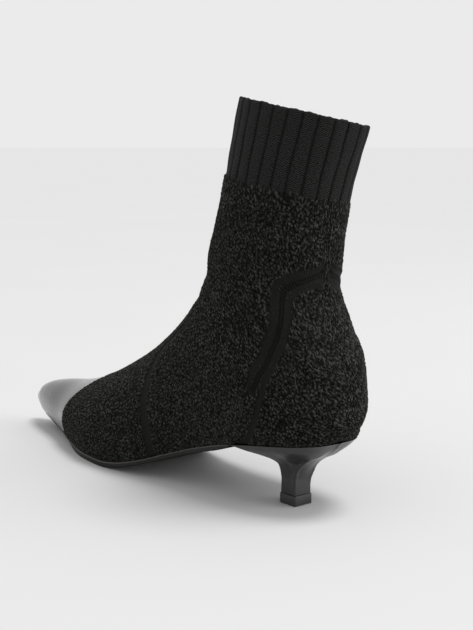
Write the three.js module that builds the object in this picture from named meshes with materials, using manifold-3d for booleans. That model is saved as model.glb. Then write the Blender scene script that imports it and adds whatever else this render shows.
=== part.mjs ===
// A left ankle boot with a knitted sock upper, a pointed leather toe cap and a low kitten heel.
// Millimetres, +Z up. The toe points to -X and the outer side of the foot to -Y.
// The origin is on the floor, under the middle of the heel's top piece.

import * as THREE from "three";
import Module from "manifold-3d";
import { mergeVertices } from "three/addons/utils/BufferGeometryUtils.js";

const wasm = await Module();
wasm.setup();

// Driving sizes
const LENGTH = 276; // back of the heel to the toe point, along the floor
const BALL_WIDTH = 74; // outsole across the ball of the foot
const HEEL_HEIGHT = 37.4; // floor to the upper's lower edge at the back
const TOE_SPRING = 5.5; // lift of the toe point over the ball
const BOOT_HEIGHT = 196; // floor to the middle of the collar
const SOLE_THICKNESS = 3.2;
const SHANK_THICKNESS = 2.6; // outsole under the arch
const KNIT_WALL = 2.4;
const CUFF_WALL = 1.9;
const CAP_WALL = 1.5;
const CAP_LENGTH = 61.5; // toe point to the cap's seam, at the sole
const CAP_CROWN = 19; // how far the seam bows back over the crest
const CAP_CROWN_WIDTH = 29;
const CAP_CROWN_SHIFT = -1; // middle of the bow, to the inner side
const CAP_DROP = 0.7; // how far the cap's leather lies under the knit's surface
const CUFF_ROWS = 1; // rows of the table of sections that the cuff takes
const CUFF_STEP = 0.8; // how far the looped knit stands over the cuff
const RIB_COUNT = 26;
const RIB_DEPTH = 0.8;
const RIB_GROOVE = 0.22; // share of a rib's pitch that its groove takes
const FIRST_HOLLOW_ROW = 0.8;
const INSOLE_THICKNESS = 2.2;
const TOP_PIECE_WIDTH = 11.8;
const TOP_PIECE_HEIGHT = 5.4;
const HEEL_SETBACK = 33.8; // back of the heel to the middle of the top piece
const HEEL_SEAT_LENGTH = 52; // back of the heel to the tips of its wings
const TONGUE_THICKNESS = 1.3;
const TONGUE_WIDTH = 34; // outsole's end between the wings
const TONGUE_LAP = 16; // how far that end lies over the heel
const SOLE_CHAMFER = 0.6;
const SEAT_MARGIN = 0.9; // heel seat's edge beyond the upper's lower edge
const SEAT_BACK = 1.6; // heel seat's end from the back of the heel
const HEEL_INSET = 0.4; // stem's faces inside the top piece's
const HEEL_OVERRUN = 1.06; // the heel's loft before it is cut at the outsole's top, as a rise
const CORNER = 1.92; // how sharp the stem's corners are, 2 for a right angle
const HEEL_SIDES = 40;
const HEEL_RINGS = 12;
const CAP_LAST_ROW = 6;
const SOLE_MARGIN = 1.0; // outsole's edge beyond the upper's lower edge
const GAP = 0.3; // between neighbouring pieces
const INSOLE_END = 0.96; // front end of the insole, as a share of LENGTH
const CUFF_LAP = 0.12; // rows that the cuff reaches down inside the looped knit
const TOE_START = 0.9; // where the outsole narrows fast, as a share of LENGTH
const SHOULDER_LENGTH = 0.1; // step from the outsole's tongue to its full width
const MOST_CHAMFER = 0.4; // the sole's chamfer at most, as a share of its thickness
const PAST_ENDS = [-0.09, 1.09]; // shares of LENGTH beyond both ends of the boot

// How finely the curved surfaces are divided
const BODY_STEPS = 44;
const CUFF_STEPS = 4;
const CAP_STEPS = 14;
const SEAM_STEPS = 48;
const SLAB_STEPS = 72;
const TONGUE_STEPS = 5;
const SOLE_STEPS = 34;
const TOE_STEPS = 12;
const SAME_POINT = 1e-4; // corners closer than this are one
const SEAT_PRECISION = 0.001;

// The upper's lower edge from the side. along is a share of LENGTH from the back of the heel,
// lift a share of the heel's height over the ball, spring a share of TOE_SPRING.
const SOLE_LINE = [
  { along: -0.1, lift: 1.05, spring: 0 },
  { along: 0.0, lift: 1.0, spring: 0 },
  { along: 0.09, lift: 0.94, spring: 0 },
  { along: 0.18, lift: 0.84, spring: 0 },
  { along: 0.29, lift: 0.62, spring: 0 },
  { along: 0.38, lift: 0.38, spring: 0 },
  { along: 0.46, lift: 0.16, spring: 0 },
  { along: 0.53, lift: 0.03, spring: 0 },
  { along: 0.57, lift: 0.0, spring: 0 },
  { along: 0.65, lift: 0.0, spring: 0 },
  { along: 0.75, lift: 0.0, spring: 0.2 },
  { along: 0.88, lift: 0.0, spring: 0.58 },
  { along: 1.0, lift: 0.0, spring: 1.0 },
  { along: 1.1, lift: 0.0, spring: 1.4 },
];

// The upper's lower edge from above. outer and inner are shares of BALL_WIDTH from the middle line.
const OUTLINE = [
  { along: 0.012, outer: 0.0, inner: 0.0 },
  { along: 0.015, outer: 0.11, inner: 0.11 },
  { along: 0.028, outer: 0.2, inner: 0.21 },
  { along: 0.052, outer: 0.275, inner: 0.285 },
  { along: 0.09, outer: 0.335, inner: 0.34 },
  { along: 0.14, outer: 0.37, inner: 0.36 },
  { along: 0.2, outer: 0.385, inner: 0.35 },
  { along: 0.31, outer: 0.375, inner: 0.3 },
  { along: 0.4, outer: 0.415, inner: 0.3 },
  { along: 0.49, outer: 0.48, inner: 0.37 },
  { along: 0.57, outer: 0.5, inner: 0.45 },
  { along: 0.63, outer: 0.48, inner: 0.475 },
  { along: 0.68, outer: 0.44, inner: 0.46 },
  { along: 0.76, outer: 0.345, inner: 0.385 },
  { along: 0.85, outer: 0.235, inner: 0.255 },
  { along: 0.92, outer: 0.155, inner: 0.145 },
  { along: 0.97, outer: 0.095, inner: 0.07 },
  { along: 0.992, outer: 0.055, inner: 0.025 },
  { along: 1.0, outer: 0.025, inner: -0.005 },
];

// Cross-sections of the outside of the upper, from the toe round the ankle to the collar.
// base is where a section meets the sole line or the back of the boot, crest where it meets the
// front. Their first number is a share of LENGTH from the back of the heel. The crest's second is
// a share of BOOT_HEIGHT, the base's a share of the way from HEEL_HEIGHT to BOOT_HEIGHT; a base
// without it lies on the sole line. outer and inner are half widths as shares of BALL_WIDTH, belly
// the height of the widest place between base and crest, dome the fullness of the curve over the
// crest. ridge is the crest's shift to the inner side as a share of BALL_WIDTH, and lean the slope
// that lifts the outer side over the inner, both 0 where they are left out.
const SECTIONS = [
  { base: [0.998], crest: [1.015, 0.106], outer: 0.065, inner: 0.04, belly: 0.5, dome: 2.3 },
  { base: [0.982], crest: [0.994, 0.132], outer: 0.12, inner: 0.09, belly: 0.45, dome: 2.3 },
  { base: [0.95], crest: [0.956, 0.153], outer: 0.17, inner: 0.145, belly: 0.42, dome: 2.2 },
  { base: [0.9], crest: [0.903, 0.168], outer: 0.228, inner: 0.218, belly: 0.4, dome: 2.1, ridge: 0.005 },
  { base: [0.83], crest: [0.83, 0.182], outer: 0.3, inner: 0.31, belly: 0.36, dome: 2, ridge: 0.015 },
  { base: [0.76], crest: [0.76, 0.205], outer: 0.39, inner: 0.415, belly: 0.33, dome: 1.95, ridge: 0.03 },
  { base: [0.68], crest: [0.68, 0.241], outer: 0.48, inner: 0.495, belly: 0.3, dome: 1.9, ridge: 0.045 },
  { base: [0.6], crest: [0.6, 0.294], outer: 0.535, inner: 0.505, belly: 0.27, dome: 1.8, ridge: 0.055 },
  { base: [0.52], crest: [0.512, 0.363], outer: 0.53, inner: 0.46, belly: 0.25, dome: 1.75, ridge: 0.055 },
  { base: [0.43], crest: [0.438, 0.44], outer: 0.49, inner: 0.41, belly: 0.27, dome: 1.75, ridge: 0.05 },
  { base: [0.33], crest: [0.386, 0.51], outer: 0.455, inner: 0.39, belly: 0.3, dome: 1.8, ridge: 0.04 },
  { base: [0.23], crest: [0.3555, 0.567], outer: 0.445, inner: 0.4, belly: 0.33, dome: 1.85, ridge: 0.03 },
  { base: [0.13], crest: [0.342, 0.608], outer: 0.445, inner: 0.415, belly: 0.37, dome: 1.9, ridge: 0.02 },
  { base: [0.06], crest: [0.3355, 0.634], outer: 0.445, inner: 0.425, belly: 0.4, dome: 1.95, ridge: 0.01 },
  { base: [0.018], crest: [0.331, 0.655], outer: 0.44, inner: 0.43, belly: 0.43, dome: 2 },
  { base: [-0.006, 0.0274], crest: [0.33, 0.67], outer: 0.435, inner: 0.43, belly: 0.46, dome: 2 },
  { base: [-0.02, 0.0793], crest: [0.327, 0.69], outer: 0.425, inner: 0.425, belly: 0.48, dome: 2 },
  { base: [-0.017, 0.191], crest: [0.32, 0.713], outer: 0.41, inner: 0.405, belly: 0.5, dome: 2, lean: 0.01 },
  { base: [0.019, 0.32], crest: [0.311, 0.738], outer: 0.395, inner: 0.382, belly: 0.5, dome: 2, lean: 0.03 },
  { base: [0.047, 0.456], crest: [0.3, 0.768], outer: 0.385, inner: 0.373, belly: 0.5, dome: 2, lean: 0.06 },
  { base: [0.043, 0.592], crest: [0.288, 0.8], outer: 0.39, inner: 0.382, belly: 0.5, dome: 2, lean: 0.1 },
  { base: [0.03, 0.732], crest: [0.276, 0.838], outer: 0.395, inner: 0.39, belly: 0.5, dome: 2, lean: 0.13 },
  { base: [-0.018, 0.965], crest: [0.238, 1.036], outer: 0.4, inner: 0.395, belly: 0.5, dome: 2, lean: 0.14 },
];

// The outsole's thickness in millimetres.
const SOLE_DEPTH = [
  { along: 0.0, thick: TONGUE_THICKNESS },
  { along: 0.185, thick: TONGUE_THICKNESS },
  { along: 0.235, thick: SHANK_THICKNESS },
  { along: 0.45, thick: SHANK_THICKNESS },
  { along: 0.57, thick: SOLE_THICKNESS },
  { along: 0.65, thick: SOLE_THICKNESS },
  { along: 0.8, thick: 2.9 },
  { along: 0.95, thick: 2.2 },
  { along: 1.0, thick: 1.8 },
];

// How the heel widens from its top piece to the seat. rise is a share of its height; side, back
// and front are shares of the way from the stem's face to the seat's edge.
const HEEL_FLARE = [
  { rise: 0.0, side: 0.0, back: 0.0, front: 0.0 },
  { rise: 0.25, side: 0.0, back: 0.0, front: -0.02 },
  { rise: 0.37, side: 0.02, back: 0.05, front: 0.0 },
  { rise: 0.47, side: 0.07, back: 0.12, front: 0.01 },
  { rise: 0.57, side: 0.15, back: 0.23, front: 0.04 },
  { rise: 0.66, side: 0.29, back: 0.38, front: 0.12 },
  { rise: 0.76, side: 0.52, back: 0.64, front: 0.28 },
  { rise: 0.88, side: 0.8, back: 0.86, front: 0.62 },
  { rise: 1.0, side: 1.0, back: 1.0, front: 1.0 },
];

// A smooth curve through a table's column: cubic pieces whose slopes never overshoot.
function curveThrough(rows, place, value) {
  const x = rows.map(place);
  const y = rows.map(value);
  const slope = x.slice(1).map((next, i) => (y[i + 1] - y[i]) / (next - x[i]));
  const tangent = x.map((_, i) => {
    if (i === 0) return slope[0];
    if (i === x.length - 1) return slope[i - 1];
    const product = slope[i - 1] * slope[i];
    return product <= 0 ? 0 : (2 * product) / (slope[i - 1] + slope[i]);
  });
  return (at) => {
    const i = Math.min(Math.max(x.findIndex((knot) => knot > at) - 1, 0), x.length - 2);
    const k = at >= x[x.length - 1] ? x.length - 2 : i;
    const width = x[k + 1] - x[k];
    const t = Math.min(Math.max((at - x[k]) / width, 0), 1);
    const u = 1 - t;
    return (
      y[k] * u * u * (1 + 2 * t) +
      y[k + 1] * t * t * (3 - 2 * t) +
      width * t * u * (tangent[k] * u - tangent[k + 1] * t)
    );
  };
}

const along = (row) => row.along;
const liftAt = curveThrough(SOLE_LINE, along, (row) => row.lift);
const springAt = curveThrough(SOLE_LINE, along, (row) => row.spring);
const outerAt = curveThrough(OUTLINE, along, (row) => row.outer);
const innerAt = curveThrough(OUTLINE, along, (row) => row.inner);

// Height of the upper's lower edge at a distance from the back of the heel.
function soleLine(forward) {
  const ball = SOLE_THICKNESS + GAP;
  const share = forward / LENGTH;
  return ball + liftAt(share) * (HEEL_HEIGHT - ball) + springAt(share) * TOE_SPRING;
}

// Half width of the upper's lower edge, on the outer side (1) or the inner side (-1).
const edgeAt = (forward, side) => (side > 0 ? outerAt : innerAt)(forward / LENGTH) * BALL_WIDTH;

// A point of the boot: forward from the back of the heel, outward from the middle line, up.
const point = (forward, outward, up) => new THREE.Vector3(HEEL_SETBACK - forward, -outward, up);

// The table of sections in millimetres. Off the sole line a section closes at the back of the boot,
// in a strip this wide to each side.
const BACK_STRIP = 3;
const sectionRows = SECTIONS.map((entry, row) => {
  const { base, crest, outer, inner, belly, dome, ridge = 0, lean = 0 } = entry;
  const onSole = base.length === 1;
  const baseForward = base[0] * LENGTH;
  return {
    row,
    belly,
    dome,
    lean,
    baseForward,
    baseUp: onSole ? soleLine(baseForward) : HEEL_HEIGHT + base[1] * (BOOT_HEIGHT - HEEL_HEIGHT),
    crestForward: crest[0] * LENGTH,
    crestUp: crest[1] * BOOT_HEIGHT,
    outer: outer * BALL_WIDTH,
    inner: inner * BALL_WIDTH,
    outerFoot: onSole ? edgeAt(baseForward, 1) : BACK_STRIP,
    innerFoot: onSole ? edgeAt(baseForward, -1) : BACK_STRIP,
    ridge: ridge * BALL_WIDTH,
  };
});
const columns = Object.keys(sectionRows[0]).map((name) => [
  name,
  curveThrough(sectionRows, (entry) => entry.row, (entry) => entry[name]),
]);
const LAST_ROW = SECTIONS.length - 1;
const LAST_SOLE_ROW = SECTIONS.filter(({ base }) => base.length === 1).length - 1;

// The outside of one cross-section, at a row number that may lie between two rows. Its points run
// from the outer side's foot over the crest to the inner side's foot.
const POINTS_BELOW_BELLY = 5;
const POINTS_ABOVE_BELLY = 10;
function section(at) {
  const s = Object.fromEntries(columns.map(([name, value]) => [name, value(at)]));
  if (at < LAST_SOLE_ROW) {
    s.baseUp = soleLine(s.baseForward);
    s.outerFoot = edgeAt(s.baseForward, 1);
    s.innerFoot = edgeAt(s.baseForward, -1);
  }
  const rise = new THREE.Vector2(s.crestForward - s.baseForward, s.crestUp - s.baseUp);
  const place = (outward, share) =>
    point(
      s.baseForward + rise.x * share - (s.lean * outward * rise.y) / rise.length(),
      outward,
      s.baseUp + rise.y * share + (s.lean * outward * rise.x) / rise.length(),
    );
  const half = (side, wide, foot) => {
    const low = steps(0, 1, POINTS_BELOW_BELLY).map((t) => [
      foot + (wide - foot) * Math.sin((t * Math.PI) / 2),
      s.belly * (1 - Math.cos((t * Math.PI) / 2)),
    ]);
    const high = steps(0, 1, POINTS_ABOVE_BELLY).slice(1).map((t) => {
      const up = Math.sin((t * Math.PI) / 2) ** (2 / s.dome);
      const out = Math.max(Math.cos((t * Math.PI) / 2), 0) ** (2 / s.dome);
      return [wide * out - side * s.ridge * up ** 2, s.belly + (1 - s.belly) * up];
    });
    return [...low, ...high].map(([out, share]) => place(side * out, share));
  };
  return [...half(1, s.outer, s.outerFoot), ...half(-1, s.inner, s.innerFoot).reverse().slice(1)];
}

// Evenly spaced numbers from one to another.
function steps(from, to, count) {
  return Array.from({ length: count + 1 }, (_, i) => from + ((to - from) * i) / count);
}

// Rings of the upper's outside moved inwards, by a depth that may change from row to row.
function skin(rows, depthAt) {
  const rings = rows.map(section);
  return rings.map((ring, r) => {
    const ahead = rings[Math.min(r + 1, rings.length - 1)];
    const behind = rings[Math.max(r - 1, 0)];
    return ring.map((p, i) => {
      const next = ring[Math.min(i + 1, ring.length - 1)];
      const last = ring[Math.max(i - 1, 0)];
      const inward = next.clone().sub(last).cross(ahead[i].clone().sub(behind[i])).normalize();
      return p.clone().addScaledVector(inward, depthAt(rows[r]));
    });
  });
}

// A closed solid through rings that all have the same number of points, with a fan at each end.
function loft(rings) {
  const count = rings[0].length;
  const middle = (ring) =>
    ring.reduce((sum, p) => sum.add(p), new THREE.Vector3()).divideScalar(count);
  const corners = [middle(rings[0]), ...rings.flat(), middle(rings[rings.length - 1])];
  const at = (ring, i) => 1 + ring * count + (i % count);
  const index = [];
  for (let i = 0; i < count; i += 1) {
    index.push(0, at(0, i + 1), at(0, i));
    index.push(corners.length - 1, at(rings.length - 1, i), at(rings.length - 1, i + 1));
    for (let ring = 0; ring < rings.length - 1; ring += 1) {
      index.push(at(ring, i), at(ring, i + 1), at(ring + 1, i + 1));
      index.push(at(ring, i), at(ring + 1, i + 1), at(ring + 1, i));
    }
  }
  const geometry = new THREE.BufferGeometry().setFromPoints(corners);
  geometry.setIndex(index);
  return solid(geometry);
}

// A closed geometry as a solid that can be cut, its faces turned outwards.
function solid(geometry) {
  geometry.deleteAttribute("normal");
  geometry.deleteAttribute("uv");
  const merged = mergeVertices(geometry, SAME_POINT);
  const vertices = Float32Array.from(merged.attributes.position.array);
  const triangles = Uint32Array.from(merged.index.array);
  const corner = (i) => new THREE.Vector3().fromArray(vertices, 3 * triangles[i]);
  let volume = 0;
  for (let i = 0; i < triangles.length; i += 3) {
    volume += corner(i).dot(corner(i + 1).cross(corner(i + 2)));
  }
  if (volume < 0) triangles.reverse();
  return new wasm.Manifold(
    new wasm.Mesh({ numProp: 3, vertProperties: vertices, triVerts: triangles }),
  );
}

// A block as wide as needed between two lines that are drawn from the side.
function slab(lower, upper, from, to) {
  const places = steps(from, to, SLAB_STEPS);
  const outline = [
    ...places.map((f) => new THREE.Vector2(HEEL_SETBACK - f, lower(f))),
    ...places.reverse().map((f) => new THREE.Vector2(HEEL_SETBACK - f, upper(f))),
  ];
  const geometry = new THREE.ExtrudeGeometry(new THREE.Shape(outline), {
    depth: 2 * BALL_WIDTH,
    bevelEnabled: false,
  });
  geometry.rotateX(Math.PI / 2);
  geometry.translate(0, BALL_WIDTH, 0);
  return solid(geometry);
}

// Everything ahead of the toe cap's seam, which bows back over the crest.
function aheadOfSeam(shift) {
  const across = steps(-BALL_WIDTH, BALL_WIDTH, SEAM_STEPS);
  const seam = across.map((w) => {
    const share = Math.min(Math.abs(w - CAP_CROWN_SHIFT) / CAP_CROWN_WIDTH, 1);
    const forward = LENGTH - CAP_LENGTH - CAP_CROWN * (1 - share * share) + shift;
    return new THREE.Vector2(HEEL_SETBACK - forward, -w);
  });
  const front = HEEL_SETBACK - 2 * LENGTH;
  const outline = [
    new THREE.Vector2(front, BALL_WIDTH),
    ...seam,
    new THREE.Vector2(front, -BALL_WIDTH),
  ];
  const geometry = new THREE.ExtrudeGeometry(new THREE.Shape(outline), {
    depth: BOOT_HEIGHT,
    bevelEnabled: false,
  });
  geometry.translate(0, 0, -HEEL_HEIGHT);
  return solid(geometry);
}

// Points along a ring at shares of its length, which is closed.
function alongRing(ring, shares) {
  const closed = [...ring, ring[0]];
  const reach = [0];
  closed.slice(1).forEach((p, i) => reach.push(reach[i] + p.distanceTo(closed[i])));
  return shares.map((share) => {
    const want = share * reach[reach.length - 1];
    const i = Math.max(reach.findIndex((r) => r > want), 1);
    return closed[i - 1].clone().lerp(closed[i], (want - reach[i - 1]) / (reach[i] - reach[i - 1]));
  });
}

// The upper: looped knit from the cap to the ankle, with a ribbed cuff a step lower.
const cuffRow = LAST_ROW - CUFF_ROWS;
const bodyRows = steps(0, cuffRow, BODY_STEPS);
const boucle = loft(skin(bodyRows, () => 0));
const ribShares = steps(0, 1, RIB_COUNT).slice(0, RIB_COUNT);
const ribPitch = 1 / RIB_COUNT;
const cuffRows = [cuffRow - CUFF_LAP, ...steps(cuffRow, LAST_ROW, CUFF_STEPS).slice(1)];
const grooves = skin(cuffRows, () => CUFF_STEP + RIB_DEPTH);
const ribs = skin(cuffRows, () => CUFF_STEP);
const ribPlaces = [0.5 * RIB_GROOVE, 0.5, 1 - 0.5 * RIB_GROOVE].map((share) => share * ribPitch);
const cuff = loft(
  cuffRows.map((_, r) =>
    ribShares.flatMap((start) => [
      ...alongRing(grooves[r], [start]),
      ...alongRing(ribs[r], ribPlaces.map((place) => start + place)),
    ]),
  ),
);

// The hollow inside it, run out through the collar and down through the sole.
const THROUGH = 6;
function hollow(extra) {
  const rows = steps(FIRST_HOLLOW_ROW, LAST_ROW, BODY_STEPS);
  const depth = (row) => (row > cuffRow ? CUFF_STEP + CUFF_WALL : KNIT_WALL) + extra;
  const rings = skin(rows, depth).map((ring, r) => {
    const drop = rows[r] <= LAST_SOLE_ROW ? THROUGH : 0;
    const feet = [ring[0], ring[ring.length - 1]].map((p) => p.clone().setZ(p.z - drop));
    return [feet[0], ...ring, feet[1]];
  });
  const top = rings[rings.length - 1];
  const step = point(0, 0, THROUGH).sub(point(0, 0, 0));
  return loft([...rings, top.map((p) => p.clone().add(step))]);
}

const cavity = hollow(0);
const upper = boucle.add(cuff).subtract(cavity).subtract(aheadOfSeam(-0.5 * GAP));

// The toe cap: a leather shell a little under the knit, ahead of the seam.
const capRows = steps(0, CAP_LAST_ROW, CAP_STEPS);
const capOutside = loft(skin(capRows, () => CAP_DROP));
const capInside = hollow(CAP_DROP + CAP_WALL - KNIT_WALL);
const toeCap = capOutside.subtract(capInside).intersect(aheadOfSeam(0.5 * GAP));

// The outsole, under the upper from the toe to a tongue that lies over the heel.
const soleTop = (forward) => soleLine(forward) - GAP;
const thickness = curveThrough(SOLE_DEPTH, along, (row) => row.thick);
const soleThickness = (forward) => thickness(forward / LENGTH);
const tongueStart = HEEL_SEAT_LENGTH - TONGUE_LAP;
const shoulder = HEEL_SEAT_LENGTH + GAP;
function soleRing(forward, grow) {
  const onTongue = forward < shoulder;
  const half = (s) => (onTongue ? 0.5 * TONGUE_WIDTH : edgeAt(forward, s) + SOLE_MARGIN);
  const side = (s) => half(s) + grow;
  const top = soleTop(forward) + grow;
  const bottom = soleTop(forward) - soleThickness(forward) - grow;
  const chamfer = Math.min(SOLE_CHAMFER, MOST_CHAMFER * (top - bottom));
  const corner = (s, inset, up) => point(forward, s * side(s) - s * inset, up);
  return [
    corner(1, 0, top),
    corner(-1, 0, top),
    corner(-1, 0, bottom + chamfer),
    corner(-1, chamfer, bottom),
    corner(1, chamfer, bottom),
    corner(1, 0, bottom + chamfer),
  ];
}
const tongueRings = steps(tongueStart, shoulder - SHOULDER_LENGTH, TONGUE_STEPS);
const toeStart = TOE_START * LENGTH;
const solePlaces = [
  ...steps(shoulder, toeStart, SOLE_STEPS),
  ...steps(toeStart, LENGTH, TOE_STEPS).slice(1),
];
const outsole = loft([...tongueRings, ...solePlaces].map((forward) => soleRing(forward, 0)));
const tongueSpace = loft(
  [tongueStart - GAP, ...tongueRings, shoulder + GAP].map((forward) => soleRing(forward, GAP)),
);

// The heel, from a square stem to the seat, with wings that run forward beside the tongue.
const heelFoot = TOP_PIECE_HEIGHT + GAP;
const byRise = (value) => curveThrough(HEEL_FLARE, (row) => row.rise, value);
const flare = {
  side: byRise((row) => row.side),
  back: byRise((row) => row.back),
  front: byRise((row) => row.front),
};
const turns = steps(0, 2 * Math.PI, HEEL_SIDES).slice(0, HEEL_SIDES);

// Distance from the middle of a square with bevelled corners to its edge.
function squareReach(turn, half) {
  const [ahead, out] = [Math.abs(Math.cos(turn)), Math.abs(Math.sin(turn))];
  return half / Math.max(ahead, out, (ahead + out) / CORNER);
}

// Distance from the middle of the stem to the seat's edge, from above.
function seatReach(turn) {
  const side = Math.sign(Math.sin(turn)) || 1;
  let inside = 0;
  let outside = BALL_WIDTH;
  while (outside - inside > SEAT_PRECISION) {
    const reach = 0.5 * (inside + outside);
    const forward = HEEL_SETBACK + reach * Math.cos(turn);
    const width = edgeAt(forward + SEAT_MARGIN, side) + SEAT_MARGIN;
    const within = forward < HEEL_SEAT_LENGTH && forward > SEAT_BACK;
    if (within && reach * Math.abs(Math.sin(turn)) < width) inside = reach;
    else outside = reach;
  }
  return inside;
}

function heelRing(rise) {
  const share = Math.min(rise, 1);
  return turns.map((turn) => {
    const stem = squareReach(turn, 0.5 * TOP_PIECE_WIDTH - HEEL_INSET);
    const seat = seatReach(turn);
    const lengthwise = Math.cos(turn) > 0 ? flare.front(share) : flare.back(share);
    const forward = HEEL_SETBACK + (stem + (seat - stem) * lengthwise) * Math.cos(turn);
    const outward = (stem + (seat - stem) * flare.side(share)) * Math.sin(turn);
    return point(forward, outward, heelFoot + (soleTop(forward) - heelFoot) * rise);
  });
}
const [pastHeel, pastToe] = PAST_ENDS.map((share) => share * LENGTH);
const overHeel = slab(soleTop, () => BOOT_HEIGHT, pastHeel, pastToe);
const heel = loft([...steps(0, 1, HEEL_RINGS), HEEL_OVERRUN].map(heelRing))
  .subtract(overHeel)
  .subtract(tongueSpace);

// The heel's top piece, flat on the floor.
const topPieceRing = (up) =>
  turns.map((turn) => {
    const reach = squareReach(turn, 0.5 * TOP_PIECE_WIDTH);
    return point(HEEL_SETBACK + reach * Math.cos(turn), reach * Math.sin(turn), up);
  });
const topPiece = loft([0, TOP_PIECE_HEIGHT].map(topPieceRing));

// The insole, on the outsole inside the upper.
const insoleTop = (forward) => soleLine(forward) + INSOLE_THICKNESS;
const insole = hollow(GAP).intersect(slab(soleLine, insoleTop, pastHeel, INSOLE_END * LENGTH));

const materials = {
  knit: new THREE.MeshStandardMaterial({ color: 0x1b1b1b, roughness: 0.85, metalness: 0 }),
  capLeather: new THREE.MeshStandardMaterial({ color: 0x161616, roughness: 0.25, metalness: 0 }),
  soleRubber: new THREE.MeshStandardMaterial({ color: 0x1a1714, roughness: 0.6, metalness: 0 }),
  heelPlastic: new THREE.MeshStandardMaterial({ color: 0x181818, roughness: 0.35, metalness: 0 }),
  topPieceRubber: new THREE.MeshStandardMaterial({ color: 0x202021, roughness: 0.55, metalness: 0 }),
  insoleLeather: new THREE.MeshStandardMaterial({ color: 0x2a2826, roughness: 0.6, metalness: 0 }),
};

const group = new THREE.Group();
function add(name, manifold, material) {
  const mesh = manifold.getMesh();
  const geometry = new THREE.BufferGeometry();
  geometry.setAttribute("position", new THREE.Float32BufferAttribute(mesh.vertProperties, 3));
  geometry.setIndex(Array.from(mesh.triVerts));
  const part = new THREE.Mesh(geometry, material);
  part.name = name;
  group.add(part);
}
add("upper", upper, materials.knit);
add("toe_cap", toeCap, materials.capLeather);
add("outsole", outsole, materials.soleRubber);
add("heel", heel, materials.heelPlastic);
add("heel_tip", topPiece, materials.topPieceRubber);
add("insole", insole, materials.insoleLeather);

export default group;
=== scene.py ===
import bpy
import numpy as np
from bpy.props import FloatProperty, FloatVectorProperty, PointerProperty
from mathutils import Matrix, Vector


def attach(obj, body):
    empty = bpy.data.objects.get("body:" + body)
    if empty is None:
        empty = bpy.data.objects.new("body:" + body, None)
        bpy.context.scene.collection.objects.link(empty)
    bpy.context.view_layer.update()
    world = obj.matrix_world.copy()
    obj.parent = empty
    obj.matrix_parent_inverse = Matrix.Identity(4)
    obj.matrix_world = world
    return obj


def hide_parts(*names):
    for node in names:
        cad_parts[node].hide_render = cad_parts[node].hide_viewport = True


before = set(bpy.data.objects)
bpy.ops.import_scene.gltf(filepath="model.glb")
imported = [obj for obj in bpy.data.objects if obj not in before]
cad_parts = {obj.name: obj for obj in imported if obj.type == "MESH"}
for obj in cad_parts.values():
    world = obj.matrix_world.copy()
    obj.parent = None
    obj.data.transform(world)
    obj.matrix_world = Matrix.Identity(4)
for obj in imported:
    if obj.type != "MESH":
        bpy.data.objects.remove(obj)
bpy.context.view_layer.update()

bl_info = {
    "name": "Knit Ankle Boot",
    "version": (1, 0, 0),
    "blender": (4, 5, 0),
    "location": "3D View > Sidebar > Boot",
    "description": "Dresses a left ankle boot in looped knit, ribbed cuff, toe cap and heel",
    "category": "Mesh",
}

# Millimetres in the tables and functions, metres in the meshes.
MM = 0.001
LENGTH = 276.0  # back of the heel to the toe point, along the floor
BALL_WIDTH = 74.0
HEEL_HEIGHT = 37.4  # of the upper's lower edge at the back of the heel
TOE_SPRING = 5.5  # how far the sole lifts at the toe point
BOOT_HEIGHT = 196.0  # of the collar's middle
SOLE_THICKNESS = 3.2
SHANK_THICKNESS = 2.6
TONGUE_THICKNESS = 1.3
TONGUE_WIDTH = 34.0
TONGUE_LAP = 16.0  # how far the outsole's tongue runs back over the heel's seat
SOLE_MARGIN = 1.0  # how far the outsole stands out past the upper
GAP = 0.3  # between pieces that touch
HEEL_SETBACK = 33.8  # back of the heel to the middle of the top piece
HEEL_SEAT_LENGTH = 52.0  # back of the heel to the seat's front end
SEAT_MARGIN = 0.9  # how far the seat stands out past the upper
SEAT_BACK = 1.6  # back of the heel to the seat's back end
BACK_STRIP = 3.0  # half width of the strip that closes a section behind the ankle
CAP_LENGTH = 61.5  # toe point to the seam at its sides
CAP_CROWN = 19.0  # how much further back the seam lies at its middle
CAP_CROWN_WIDTH = 29.0  # half width of that bow
CAP_CROWN_SHIFT = -1.0  # of the bow's middle, towards the outer side
KNIT_WALL = 2.4
CUFF_WALL = 1.9
CUFF_STEP = 0.8  # how far the cuff lies below the looped knit's surface
CAP_WALL = 1.5
CAP_DROP = 0.7  # how far the leather lies below it
TOP_PIECE_WIDTH = 11.8
TOP_PIECE_HEIGHT = 5.4
HEEL_INSET = 0.4  # how far the stem stands in from the top piece's edge
CORNER = 1.92  # bevels the stem's corners: 2 leaves them sharp
RIB_COUNT = 26
SEAM_ROWS = (3, 7)  # rows of sections that the toe cap's seam lies between
CAP_ROW = 5  # row that it lies near
VAMP_ROW = 9.08  # the row of sections that the seam across the vamp follows
ANKLE_ROW = 14  # the last row of sections that stands on the sole
CUFF_ROW = 21

# The upper's lower edge from the side: share of LENGTH, share of the heel's lift, share of the
# toe's spring.
SOLE_LINE = np.array([
    (-0.1, 1.05, 0), (0, 1, 0), (0.09, 0.94, 0), (0.18, 0.84, 0), (0.29, 0.62, 0),
    (0.38, 0.38, 0), (0.46, 0.16, 0), (0.53, 0.03, 0), (0.57, 0, 0), (0.65, 0, 0),
    (0.75, 0, 0.2), (0.88, 0, 0.58), (1, 0, 1), (1.1, 0, 1.4),
])

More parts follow.
